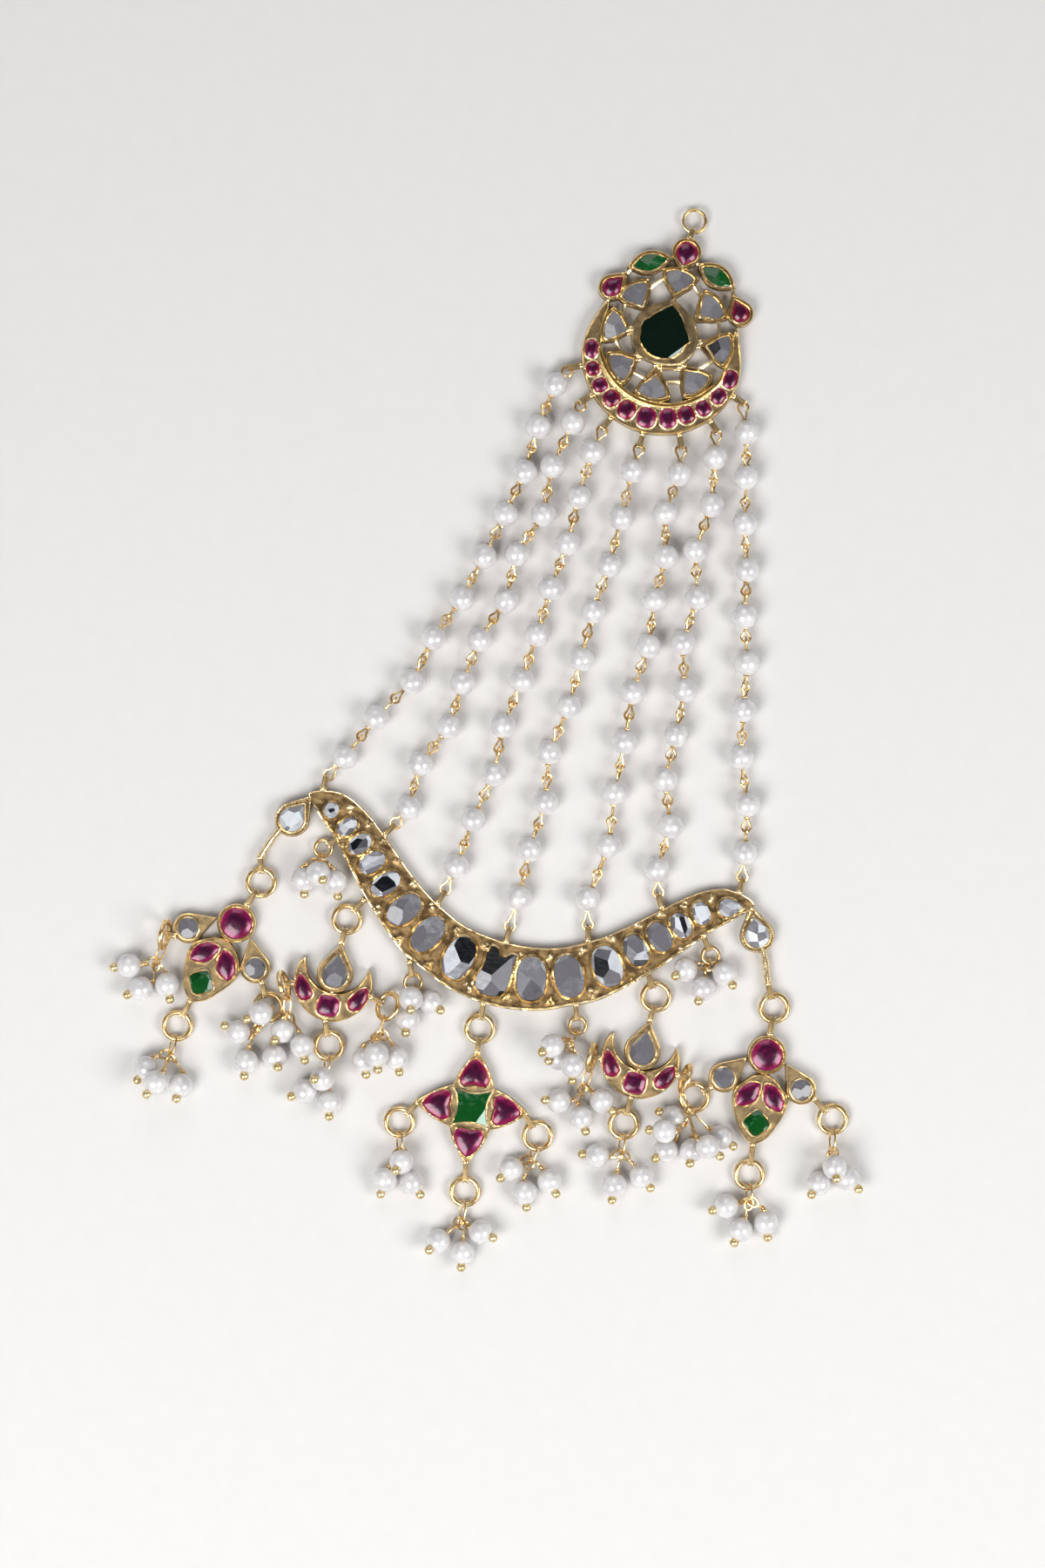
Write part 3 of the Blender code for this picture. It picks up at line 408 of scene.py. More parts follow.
def shell_from(mesh: Mesh, polish: float) -> Shell:
    """A shell from a mesh.

    Args:
        mesh: a mesh in metres, which is removed.
        polish: its polish, where it carries none.

    Returns:
        The shell.
    """
    points = np.empty(len(mesh.vertices) * 3, np.float32)
    mesh.vertices.foreach_get("co", points)
    shine = np.full(len(mesh.vertices), polish, np.float32)
    if "polish" in mesh.attributes:
        mesh.attributes["polish"].data.foreach_get("value", shine)
    faces = [tuple(face.vertices) for face in mesh.polygons]
    shell = Shell(points.reshape(-1, 3) / MM, faces, shine)
    bpy.data.meshes.remove(mesh)
    return shell


def make_piece(name: str, shells: list[Shell], finish: Material,
               replaces: tuple[str, ...] = (), smooth: float = 0.0) -> None:
    """A finished object of several shells, which rides on the ornament.

    Args:
        name: the object's name.
        shells: its parts.
        finish: its material.
        replaces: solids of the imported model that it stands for.
        smooth: angle in degrees up to which edges are smooth, or 0 for flat faces.
    """
    whole = merged(shells)
    mesh = bpy.data.meshes.new(name)
    mesh.from_pydata((whole.points * MM).tolist(), [], whole.faces)
    mesh.validate()
    # The face tone is a ruby's hue, or the painted reflection that a cut stone's facet shows.
    for label, domain, values in (("polish", "POINT", whole.polish), ("tone", "FACE", whole.tone)):
        mesh.attributes.new(label, "FLOAT", domain).data.foreach_set(
            "value", values.astype(np.float32))
    mesh.materials.append(finish)
    if smooth:
        mesh.shade_smooth()
        mesh.set_sharp_from_angle(angle=math.radians(smooth))
    add_piece(name, mesh, replaces)


def add_piece(name: str, mesh: Mesh, replaces: tuple[str, ...] = ()) -> None:
    """Put a finished mesh into the scene as a piece that rides on the ornament.

    Args:
        name: the object's name.
        mesh: its mesh, in metres.
        replaces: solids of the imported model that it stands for.
    """
    piece = bpy.data.objects.new(name, mesh)
    bpy.context.scene.collection.objects.link(piece)
    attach(piece, BODY)
    if replaces:
        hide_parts(*replaces)
    log.info("%s: %d faces", name, len(mesh.polygons))


# Reliefs: cast plates with raised lines and hollows

@dataclass
class Seat:
    """A hollow for a stone, and the collet that stands round it."""
    loop: Points
    collet: float               # height of its lip above the plate
    width: float                # how far its outer slope reaches
    depth: float
    uneven: float = 0.35

    def raise_round(self, height: Points, polish: Points, points: Points, plate: float,
                    seed: float) -> None:
        """Raise the collet and sink the hollow, in place.

        Args:
            height: heights of the plate's points.
            polish: their polish.
            points: the points.
            plate: the plate's height.
            seed: makes each collet uneven in its own way.
        """
        reach = self.width + 0.4
        near = np.flatnonzero(np.all((points > self.loop.min(axis=0) - reach)
                                     & (points < self.loop.max(axis=0) + reach), axis=1))
        part = points[near]
        apart = distance_to(part, self.loop)
        torn = 0.6 * ripple(part, 0.42, seed) + 0.7 * ripple(part, 1.3, 2 * seed + 1)
        slope = np.clip(1 - apart / self.width, 0, 1) ** 1.2 * ramp(apart, -0.1, 0.1)
        ridge = slope * (1 + self.uneven * torn)
        lift = np.maximum(height[near], plate + self.collet * ridge)
        height[near] = lift - self.depth * ramp(-apart, 0, 0.1)
        shine = np.clip(2.2 * slope, 0, 1) * (0.9 + 0.5 * torn)
        polish[near] = np.maximum(polish[near] * ramp(apart, 0, 0.3), shine)


@dataclass
class Relief:
    """A cast plate: its outline, its rims and what is raised or sunk in it."""
    loop: Points
    seats: list[Seat]
    plate: float = 1.65
    rims: tuple[Triple, ...] = (THIN_RIM,)      # depth, width, height
    fill: float = 0.26                      # distance between the points of its face
    shine: float = 0.1                      # the bare plate's polish
    lines: tuple[float, ...] = ()           # further depths that are sampled
    extra: Callable[[Points, Points], tuple[Points, Points]] | None = None

    def sample(self) -> Points:
        """Points of the plate's face: lines beside every edge, and a fill between them."""
        steps = sorted({0.1, *self.lines, *(rim[0] for rim in self.rims),
                        *(rim[0] + rim[1] for rim in self.rims)})
        lines = [offset(self.loop, -step) for step in steps]
        for seat in self.seats:
            lines += [offset(seat.loop, step * seat.width) for step in (0.0, 0.25, 0.55, 1.0)]
            lines.append(offset(seat.loop, -0.1))
        low, high = self.loop.min(axis=0), self.loop.max(axis=0)
        x, y = np.meshgrid(np.arange(low[0], high[0], self.fill),
                           np.arange(low[1], high[1], self.fill * 0.866))
        x[1::2] += self.fill / 2
        grid = np.stack((x.ravel(), y.ravel()), axis=1)
        grid = grid[distance_to(grid, self.loop) < -(steps[-1] + self.fill / 2)]
        for seat in self.seats:
            apart = distance_to(grid, seat.loop)
            grid = grid[(apart > seat.width + self.fill / 3) | (apart < -self.fill / 2)]
        beside = np.vstack(lines)
        return np.vstack((beside[distance_to(beside, self.loop) < -0.06], grid))

    def heights(self, points: Points) -> tuple[Points, Points]:
        """The face's height and polish.

        Args:
            points: places on the face.

        Returns:
            A height and a polish for each of them.
        """
        depth = np.maximum(-distance_to(points, self.loop), 0)
        height = self.plate - 0.3 * np.clip(1 - depth / 0.14, 0, 1) ** 2
        polish = np.full(len(points), self.shine)
        for centre, width, rise in self.rims:
            ridge = bump(depth, centre, width) * (1 + 0.18 * ripple(points, 0.8, centre))
            height += rise * ridge
            polish = np.maximum(polish, ridge)
        if self.extra is not None:
            rise, shine = self.extra(points, depth)
            height += rise
            polish = np.maximum(polish, shine)
        for i, seat in enumerate(self.seats):
            seat.raise_round(height, polish, points, self.plate, i + 1.0)
        return height, np.clip(polish, 0, 1)

    def shell(self) -> Shell:
        """The plate as a closed shell."""
        count = len(self.loop)
        flat = [Vector(point) for point in np.vstack((self.loop, self.sample()))]
        edges = [(i, (i + 1) % count) for i in range(count)]
        found = delaunay_2d_cdt(flat, edges, [], 1, 1e-5, False)
        face = np.array([tuple(vert) for vert in found[0]])
        height, polish = self.heights(face)
        top = np.column_stack((face, height))
        foot = np.column_stack((self.loop, np.zeros(count)))
        start = len(top)
        corners = np.array(found[2])
        corners = corners[distance_to(face[corners].mean(axis=1), self.loop) < 0]
        faces = [tuple(triangle) for triangle in corners.tolist()]
        faces += [(start + i, start + j, j, i) for i, j in edges]
        faces.append(tuple(range(start + count - 1, start - 1, -1)))
        return Shell(np.vstack((top, foot)), faces, np.concatenate((polish, np.full(count, 0.25))))


# Stones

class Cut(Enum):
    """How a stone is cut when nothing marks it out from the others."""
    # The last number of each facet is its painted reflection tone, dark to light.
    THREE = ((80, 17, 0, 0.52), (205, 15, 0, 0.42), (325, 16, 0, 0.47))
    STEP = ((0, 0, 0, 0.42), (100, 12, 0.5, 0.55), (-30, 24, 1.9, 0.9))


@dataclass
class Stone:
    """A cut stone: a prism of its outline, cut by planes."""
    loop: Points
    facets: tuple[Facet, ...]
    base: float
    top: float
    turn: float = 0.0
    girdle: float = 0.2                     # how far the small side facets reach in, mm
    sides: int = 9
    edges: Pair = (0.3, 0.65)               # painted reflection tones of the side facets

    @staticmethod
    def direction(bearing: float, slope: float) -> Vector:
        """Where a facet faces."""
        angle, tilt = math.radians(bearing), math.radians(slope)
        return Vector((math.cos(angle) * math.sin(tilt), math.sin(angle) * math.sin(tilt),
                       math.cos(tilt)))

    def crown(self) -> list[Plane]:
        """The planes of the large facets."""
        middle = Vector((*self.loop.mean(axis=0), self.top))
        planes = []
        for bearing, slope, reach, tone in self.facets:
            place = middle + self.direction(bearing + self.turn, 90) * reach
            planes.append((place, self.direction(bearing + self.turn, slope), tone))
        return planes

    def skirt(self, crown: list[Plane]) -> list[Plane]:
        """The planes of the small side facets.

        Args:
            crown: the large facets, which they start below.

        Returns:
            A plane for each side.
        """
        middle = self.loop.mean(axis=0)
        low, high = self.edges
        planes = []
        for i in range(self.sides):
            bearing = self.turn + 360 * (i + 0.5 + 0.2 * math.sin(1.7 * i)) / self.sides
            out = np.array((math.cos(math.radians(bearing)), math.sin(math.radians(bearing))))
            place = Vector((*(middle + out * float(np.max((self.loop - middle) @ out))), self.top))
            falls = [(place - start).dot(normal) / normal.z for start, normal, _ in crown]
            edge = self.top - 0.7 * max(0.0, *falls) - 0.2 - 0.5 * self.girdle
            place.z = max(edge, self.base + 0.55)
            # Painted reflection: each side facet gets a lighter or darker tone in turn.
            tone = low + (high - low) * (0.5 + 0.5 * math.sin(2.2 * i + self.turn))
            planes.append((place, self.direction(bearing, 31 + 6 * math.sin(2.4 * i)), tone))
        return planes

    def shell(self) -> Shell:
        """The stone as a closed shell of flat facets."""
        built = bmesh.new()
        lower, upper = ([built.verts.new((x, y, z)) for x, y in self.loop]
                        for z in (self.base, self.top + 1.5))
        built.faces.new(lower[::-1])
        built.faces.new(upper)
        for side in zip(lower, lower[1:] + lower[:1], upper[1:] + upper[:1], upper):
            built.faces.new(side)
        planes = self.crown()
        planes += self.skirt(planes)
        for place, normal, _ in planes:
            self.slice(built, place, normal)
        bmesh.ops.remove_doubles(built, verts=built.verts, dist=1e-4)
        bmesh.ops.recalc_face_normals(built, faces=built.faces)
        built.normal_update()
        built.verts.index_update()
        points = np.array([vert.co for vert in built.verts])
        faces = [tuple(vert.index for vert in face.verts) for face in built.faces]
        # Each face takes the painted reflection tone of its plane; other faces take the darker side
        # tone.
        painted_reflections = []
        for face in built.faces:
            best = max(planes, key=lambda plane: plane[1].dot(face.normal))
            painted_reflections.append(best[2] if best[1].dot(face.normal) > 0.995 else self.edges[0])
        built.free()
        return Shell(points, faces, tone=np.array(painted_reflections))

    @staticmethod
    def slice(built: bmesh.types.BMesh, place: Vector, normal: Vector) -> None:
        """Cut off what lies beyond a plane and close the cut.

        Args:
            built: the stone so far.
            place: a place on the plane.
            normal: the plane's direction, outwards.
        """
        everything = list(built.verts) + list(built.edges) + list(built.faces)
        cut = bmesh.ops.bisect_plane(built, geom=everything, plane_co=place, plane_no=normal,
                                     dist=1e-5, clear_outer=True)
        edges = [item for item in cut["geom_cut"] if isinstance(item, bmesh.types.BMEdge)
                 and item.is_valid and len(item.link_faces) < 2]
        if len(edges) > 2:
            bmesh.ops.contextual_create(built, geom=edges)


def dome(loop: Points, edge: float, top: float, slip: Pair = (0.0, 0.0),
         base: float = HIDDEN) -> Shell:
    """A smooth domed stone, whose polish value falls from its edge to its middle.

    Args:
        loop: its outline.
        edge: height where the dome starts.
        top: height of its middle.
        slip: how far its middle lies off the outline's own.
        base: height of its foot.

    Returns:
        The stone.
    """
    middle = loop.mean(axis=0) + slip
    count = len(loop)
    rows, polish = [np.column_stack((loop, np.full(count, base)))], [np.ones(count)]
    for share in (1.0, 0.94, 0.84, 0.7, 0.52, 0.3):
        lift = edge + (top - edge) * (1 - share ** 2.6)
        rows.append(np.column_stack((middle + (loop - middle) * share, np.full(count, lift))))
        polish.append(np.full(count, max(0.0, 2.0 * share - 1.0)))
    last = (len(rows) - 1) * count
    faces = skin(len(rows), count)
    faces += [(last + k, last + (k + 1) % count, last + count) for k in range(count)]
    faces.append(tuple(range(count - 1, -1, -1)))
    tint = 0.5 + 0.5 * math.sin(3.1 * middle[0] + 1.7 * middle[1])
    rows.append(np.array([(*middle, top)]))
    return Shell(np.vstack(rows), faces, np.concatenate((*polish, [0.0])), tint)


# Node trees

class Graph:
    """A node tree that is built node by node."""

    def __init__(self, tree: bpy.types.NodeTree) -> None:
        """Work on a tree."""
        self.tree = tree

    def node(self, kind: str, settings: dict[str, object] | None = None,
             values: dict[str | int, object] | None = None) -> bpy.types.Node:
        """Add a node.

        Args:
            kind: the node's type.
            settings: its own properties, set first.
            values: a value or a link for each named or numbered socket.

        Returns:
            The node.
        """
        made = self.tree.nodes.new(kind)
        for name, value in (settings or {}).items():
            setattr(made, name, value)
        for name, value in (values or {}).items():
            self.feed(made.inputs[name], value)
        return made

    def feed(self, socket: Socket, value: object) -> None:
        """Give a socket its value, or link it.

        Args:
            socket: an input.
            value: a plain value, an output or a signal.
        """
        if isinstance(value, Signal):
            value = value.socket
        if isinstance(value, Socket):
            self.tree.links.new(value, socket)
        else:
            socket.default_value = value

    def math(self, operation: str, *values: object) -> Signal:
        """A Math node on values and signals."""
        made = self.node("ShaderNodeMath", {"operation": operation}, dict(enumerate(values)))
        return Signal(self, made.outputs[0])


class Signal:
    """A number that varies over a surface, for use in expressions."""

    def __init__(self, graph: Graph, socket: Socket) -> None:
        """Wrap an output socket."""
        self.graph, self.socket = graph, socket

    def __add__(self, other: object) -> Signal:
        """Sum."""
        return self.graph.math("ADD", self, other)

    def __sub__(self, other: object) -> Signal:
        """Difference."""
        return self.graph.math("SUBTRACT", self, other)

    def __rsub__(self, other: object) -> Signal:
        """Difference from a number."""
        return self.graph.math("SUBTRACT", other, self)

    def __mul__(self, other: object) -> Signal:
        """Product."""
        return self.graph.math("MULTIPLY", self, other)

    __radd__ = __add__
    __rmul__ = __mul__

    def between(self, low: float, high: float) -> Signal:
        """0 below one value, 1 above another, smooth between."""
        made = self.graph.node("ShaderNodeMapRange", {"interpolation_type": "SMOOTHSTEP"},
                               {"Value": self, "From Min": low, "From Max": high})
        return Signal(self.graph, made.outputs[0])


class Surface(Graph):
    """A material's shader, with the patterns that the finishes share."""

    def __init__(self, name: str) -> None:
        """Start a Principled material.

        Args:
            name: the material's name.
        """
        self.material = bpy.data.materials.new(name)
        self.material.use_nodes = True
        super().__init__(self.material.node_tree)
        self.shader = self.tree.nodes["Principled BSDF"]
        self.place = self.node("ShaderNodeTexCoord").outputs["Object"]

    def noise(self, size: float, detail: float = 2.0, rough: float = 0.5,
              stretch: Triple | None = None) -> Signal:
        """Noise on the object's own coordinates.

        Args:
            size: of its features.
            detail: how many finer layers it has.
            rough: how strong they are.
            stretch: a scale for each axis.

        Returns:
            The noise, 0 to 1.
        """
        place = self.place
        if stretch:
            place = self.node("ShaderNodeMapping", {},
                              {"Vector": place, "Scale": stretch}).outputs[0]
        made = self.node("ShaderNodeTexNoise", {}, {"Vector": place, "Scale": 1 / (size * MM),
                                                    "Detail": detail, "Roughness": rough})
        return Signal(self, made.outputs[0])

    def cells(self, size: float) -> Signal:
        """Distance to the nearest of scattered points, for pits."""
        made = self.node("ShaderNodeTexVoronoi", {"feature": "F1"},
                         {"Vector": self.place, "Scale": 1 / (size * MM)})
        return Signal(self, made.outputs[0])

    def attribute(self, name: str) -> Signal:
        """A value that the mesh carries."""
        made = self.node("ShaderNodeAttribute", {"attribute_name": name})
        return Signal(self, made.outputs["Fac"])

    def blend(self, share: Signal, first: object, second: object) -> Socket:
        """A colour between two colours.

        Args:
            share: how much of the second colour there is.
            first: a colour or an output.
            second: a colour or an output.

        Returns:
            The mixed colour's output.
        """
        ends = [(*end, 1.0) if isinstance(end, tuple) else end for end in (first, second)]
        made = self.node("ShaderNodeMix", {"data_type": "RGBA"}, {0: share, 6: ends[0], 7: ends[1]})
        return made.outputs[2]

    def relief(self, height: Signal, depth: float) -> Socket:
        """A bump of a height signal, its full depth in millimetres."""
        return self.node("ShaderNodeBump", {}, {"Height": height, "Distance": depth * MM,
                                                "Strength": 1.0}).outputs[0]

    def finish(self, **values: object) -> Material:
        """Feed the shader's sockets.

        Args:
            **values: a value or a link for each socket, its name with underscores.

        Returns:
            The finished material.
        """
        for name, value in values.items():
            socket = self.shader.inputs[name.replace("_", " ")]
            self.feed(socket, (*value, 1.0) if isinstance(value, tuple) else value)
        return self.material


# Finishes

@dataclass(frozen=True)
class CastGold:
    """Gilt casting: grainy in its hollows, bright on its ridges."""
    name: str = "cast_gold"
    hollow: Triple = (0.085, 0.045, 0.018)
    plate: Triple = (0.38, 0.245, 0.105)
    ridge: Triple = (1.0, 0.80, 0.47)
    grain: float = 0.1
    depth: float = 0.03

    def material(self) -> Material:
        """The finish as a material."""
        surface = Surface(self.name)
        polish = surface.attribute("polish")
        fine = surface.noise(self.grain, 3.0, 0.6)
        broad = surface.noise(1.6, 3.0)
        pits = surface.cells(0.34)
        worn = (polish + (fine - 0.5) * 0.5).between(0.1, 0.75)
        dull = surface.blend(broad.between(0.35, 0.65), self.hollow, self.plate)
        speckled = surface.blend(fine.between(0.5, 0.75) * 0.35, dull, self.ridge)
        color = surface.blend(worn, speckled, self.ridge)
        rough = 0.42 - worn * 0.2 + (fine - 0.5) * 0.2
        grain = (fine + pits * 0.6) * (1 - polish * 0.8)
        return surface.finish(Base_Color=color, Metallic=1.0, Roughness=rough,
                              Normal=surface.relief(grain, self.depth))


@dataclass(frozen=True)
class DrawnGold:
    """Gilt wire: smooth, with faint draw marks and rubbed places."""
    name: str = "drawn_gold"
    color: Triple = (0.76, 0.50, 0.21)
    rubbed: Triple = (1.0, 0.80, 0.46)
    rough: float = 0.22
    dents: float = 0.006

    def material(self) -> Material:
        """The finish as a material."""
        surface = Surface(self.name)
        wear = surface.noise(0.8, 3.0).between(0.4, 0.65)
        marks = surface.noise(0.45, 2.0)
        return surface.finish(Base_Color=surface.blend(wear, self.color, self.rubbed), Metallic=1.0,
                              Roughness=self.rough + marks * 0.14,
                              Normal=surface.relief(marks, self.dents))


@dataclass(frozen=True)
class PearlLustre:
    """Imitation pearl: a soft lustre over white, a little uneven."""
    name: str = "pearl_lustre"
    light: Triple = (0.72, 0.705, 0.695)
    shade: Triple = (0.57, 0.545, 0.555)
    rough: float = 0.3

    def material(self) -> Material:
        """The finish as a material."""
        surface = Surface(self.name)
        cloud = surface.noise(1.5, 2.0).between(0.35, 0.7)
        dimples = surface.noise(0.6, 2.0)
        return surface.finish(Base_Color=surface.blend(cloud, self.light, self.shade),
                              Roughness=self.rough + cloud * 0.08, Coat_Weight=1.0,
                              Coat_Roughness=0.17, Coat_IOR=1.85,
                              Normal=surface.relief(dimples, 0.03))


@dataclass(frozen=True)
class FoilGlass:
    """Glass over foil: each facet has a painted reflection tone, clouded and scratched."""
    name: str
    # Dark and light are painted reflections on the facets of low and high tone; middle is the glass
    # between.
    dark: Triple
    middle: Triple
    light: Triple
    rough: float = 0.1
    scratch: float = 0.012
    cloud: float = 0.16

    def material(self) -> Material:
        """The finish as a material."""
        surface = Surface(self.name)
        tone = surface.attribute("tone")
        cloud = surface.noise(1.1, 4.0, 0.6)
        streaks = surface.noise(0.7, 3.0, 0.6, (0.35, 1.6, 1.0))
        # Painted reflection: the facet's tone picks a colour from dark through middle to light.
        share = tone + (cloud - 0.5) * self.cloud * 2 + (streaks - 0.5) * self.cloud
        color = surface.blend(share.between(-0.05, 0.5), self.dark, self.middle)
        color = surface.blend(share.between(0.5, 1.0), color, self.light)
        return surface.finish(Base_Color=color, Roughness=self.rough + streaks * 0.12,
                              Coat_Weight=0.25, Coat_Roughness=0.05,
                              Normal=surface.relief(streaks, self.scratch))


@dataclass(frozen=True)
class RubyGlass:
    """Red glass over foil: from red to magenta at its edge, purple and clouded in the middle, with
    painted glint flecks.
    """
    name: str = "ruby_glass"
    red: Triple = (0.27, 0.004, 0.038)
    magenta: Triple = (0.27, 0.006, 0.085)
    middle: Triple = (0.045, 0.0015, 0.024)
    # colour of the painted highlight flecks
    painted_glint: Triple = (0.36, 0.035, 0.16)

    def material(self) -> Material:
        """The finish as a material."""
        surface = Surface(self.name)
        rim = surface.attribute("polish")
        cloud = surface.noise(0.8, 4.0, 0.65)
        flecks = surface.noise(0.35, 3.0, 0.6)
        share = (rim * 0.7 + (cloud - 0.5) * 1.5 + 0.2).between(0.1, 0.9)
        edge = surface.blend(surface.attribute("tone"), self.red, self.magenta)
        color = surface.blend(share, self.middle, edge)
        # Painted highlight: small flecks of glint colour.
        color = surface.blend(flecks.between(0.62, 0.8) * 0.4, color, self.painted_glint)
        return surface.finish(Base_Color=color, Metallic=0.2, Roughness=0.16 + flecks * 0.16,
                              Coat_Weight=0.4, Coat_Roughness=0.06,
                              Normal=surface.relief(cloud, 0.05))


class Finishes:
    """Every material of the ornament, made once."""

    def __init__(self) -> None:
        """Make the materials."""
        self.cast = CastGold().material()
        self.wire = DrawnGold().material()
        self.tips = DrawnGold("brass_tips", (0.70, 0.53, 0.25), (0.90, 0.75, 0.44), 0.3,
                              0.01).material()
        self.pearl = PearlLustre().material()
        # Each cut stone's dark and light colours are painted reflections; middle is its glass.
        self.foil = FoilGlass("foil_glass", (0.003, 0.004, 0.006), (0.145, 0.14, 0.155),
                              (0.66, 0.69, 0.73)).material()
        self.emerald = FoilGlass("green_glass", (0.0, 0.005, 0.001), (0.0015, 0.068, 0.009),
                                 (0.35, 0.55, 0.42), 0.1, 0.03, 0.3).material()
        self.night = FoilGlass("dark_green_glass", (0.0, 0.002, 0.001), (0.0005, 0.0075, 0.0035),
                               (0.42, 0.50, 0.46), 0.08, 0.006, 0.12).material()
        self.ruby = RubyGlass().material()


# Repeats, by geometry nodes

class Repeat(Graph):
    """A geometry node tree with named inputs, run on one base after another."""

    def __init__(self, name: str, sizes: dict[str, tuple[str, object]]) -> None:
        """Start a tree with a geometry input, named sizes and a finish.

        Args:
            name: the tree's name.
            sizes: the type and the usual value of each named input.
        """
        super().__init__(bpy.data.node_groups.new(name, "GeometryNodeTree"))
        face = self.tree.interface
        face.new_socket("Geometry", in_out="INPUT", socket_type="NodeSocketGeometry")
        self.keys = {}
        for label, (kind, value) in {**sizes, "Finish": ("NodeSocketMaterial", None)}.items():
            socket = face.new_socket(label, in_out="INPUT", socket_type=kind)
            if value is not None:
                socket.default_value = value
            self.keys[label] = socket.identifier
        face.new_socket("Geometry", in_out="OUTPUT", socket_type="NodeSocketGeometry")
        self.entry = self.node("NodeGroupInput").outputs

    def spread(self, thing: Socket) -> None:
        """Stand a thing on every point, turned and scaled by the point's own values.

        Args:
            thing: the output that carries it.
        """
        size, turn = (self.node("GeometryNodeInputNamedAttribute", {"data_type": "FLOAT_VECTOR"},
                                {"Name": name}).outputs[0] for name in ("size", "turn"))
        stood = self.node("GeometryNodeInstanceOnPoints", {}, {
            "Points": self.entry["Geometry"], "Instance": thing, "Rotation": turn, "Scale": size})
        self.close(stood.outputs[0])

    def close(self, made: Socket) -> None:
        """End the tree: smooth, realized and given its finish.

        Args:
            made: the output that carries what it made.
        """
        smooth = self.node("GeometryNodeSetShadeSmooth", {}, {"Geometry": made})
        real = self.node("GeometryNodeRealizeInstances", {}, {"Geometry": smooth.outputs[0]})
        dressed = self.node("GeometryNodeSetMaterial", {}, {"Geometry": real.outputs[0],
                                                            "Material": self.entry["Finish"]})
        self.node("NodeGroupOutput", {}, {"Geometry": dressed.outputs[0]})

    def run(self, name: str, base: bpy.types.ID, **sizes: object) -> Mesh:
        """The mesh that the tree makes from a base.

        Args:
            name: name of the mesh.
            base: a curve or a mesh with the places.
            **sizes: values of the named inputs.

        Returns:
            A plain mesh.
        """
        carrier = bpy.data.objects.new(name, base)
        bpy.context.scene.collection.objects.link(carrier)
        modifier = carrier.modifiers.new("repeat", "NODES")
        modifier.node_group = self.tree
        for label, value in sizes.items():
            modifier[self.keys[label]] = value
        bpy.context.view_layer.update()
        graph = bpy.context.evaluated_depsgraph_get()
        mesh = bpy.data.meshes.new_from_object(carrier.evaluated_get(graph))
        bpy.data.objects.remove(carrier)
        store = bpy.data.curves if isinstance(base, bpy.types.Curve) else bpy.data.meshes
        store.remove(base)
        return mesh


@dataclass
class Wire:
    """A path that a wire follows."""
    points: list[Vector]
    radius: float


class Wires(Repeat):
    """Round wire along every path of a curve."""

    def __init__(self) -> None:
        """Build the tree."""
        super().__init__("wires", {"Radius": ("NodeSocketFloat", 0.0002),
                                   "Sides": ("NodeSocketInt", 8)})
        profile = self.node("GeometryNodeCurvePrimitiveCircle", {"mode": "RADIUS"},
                            {"Resolution": self.entry["Sides"], "Radius": self.entry["Radius"]})
        swept = self.node("GeometryNodeCurveToMesh", {}, {"Curve": self.entry["Geometry"],
                                                          "Profile Curve": profile.outputs[0],
                                                          "Fill Caps": True})
        self.close(swept.outputs[0])

    def draw(self, name: str, paths: list[Wire], finish: Material) -> Mesh:
        """Wire along paths, one radius at a time.

        Args:
            name: name of the mesh.
            paths: the wires, which are kept above the floor and under the roof.
            finish: their material.

        Returns:
            One mesh of all of them, in metres.
        """
        made = bmesh.new()
        for radius in sorted({path.radius for path in paths}):
            curve = bpy.data.curves.new(name, "CURVE")
            curve.dimensions = "3D"
            for path in (path for path in paths if path.radius == radius):
                spline = curve.splines.new("POLY")
                spline.points.add(len(path.points) - 1)
                for point, place in zip(spline.points, path.points):
                    height = min(max(place.z, radius + 0.01), ROOF - radius)
                    point.co = (*(Vector((place.x, place.y, height)) * MM), 1.0)
            mesh = self.run(name, curve, Radius=radius * MM, Finish=finish,
                            Sides=10 if radius > 0.25 else 7)
            made.from_mesh(mesh)
            bpy.data.meshes.remove(mesh)
        whole = bpy.data.meshes.new(name)
        made.to_mesh(whole)
        made.free()
        whole.materials.append(finish)
        whole.shade_smooth()
        whole.set_sharp_from_angle(angle=math.radians(50))
        return whole


class Beads(Repeat):
    """A round bead at every point."""

    def __init__(self) -> None:
        """Build the tree."""
        super().__init__("beads", {"Radius": ("NodeSocketFloat", 0.002),
                                   "Segments": ("NodeSocketInt", 28),
                                   "Rings": ("NodeSocketInt", 18)})
        ball = self.node("GeometryNodeMeshUVSphere", {}, {
            label: self.entry[label] for label in ("Segments", "Rings", "Radius")})
        self.spread(ball.outputs[0])


class Copies(Repeat):
    """A pattern piece at every point."""

    def __init__(self) -> None:
        """Build the tree."""
        super().__init__("copies", {"Pattern": ("NodeSocketObject", None)})
        shown = self.node("GeometryNodeObjectInfo", {}, {"Object": self.entry["Pattern"]})
        self.spread(shown.outputs["Geometry"])


def cloud(places: list[Vector], sizes: list[Triple] | None = None,
          turns: list[float] | None = None) -> Mesh:
    """Points for a repeat.

    Args:
        places: where they are.
        sizes: scale of what stands on each.
        turns: its turn about Z, radians.

    Returns:
        A mesh of points, in metres.
    """
    count = len(places)
    mesh = bpy.data.meshes.new("places")
    mesh.from_pydata([tuple(place * MM) for place in places], [], [])
    rows = {"size": sizes or [(1.0, 1.0, 1.0)] * count,
            "turn": [(0.0, 0.0, turn) for turn in turns or [0.0] * count]}
    for name, row in rows.items():
        mesh.attributes.new(name, "FLOAT_VECTOR", "POINT").data.foreach_set(
            "vector", np.array(row, np.float32).ravel())
    return mesh


# Wires, lugs and rings

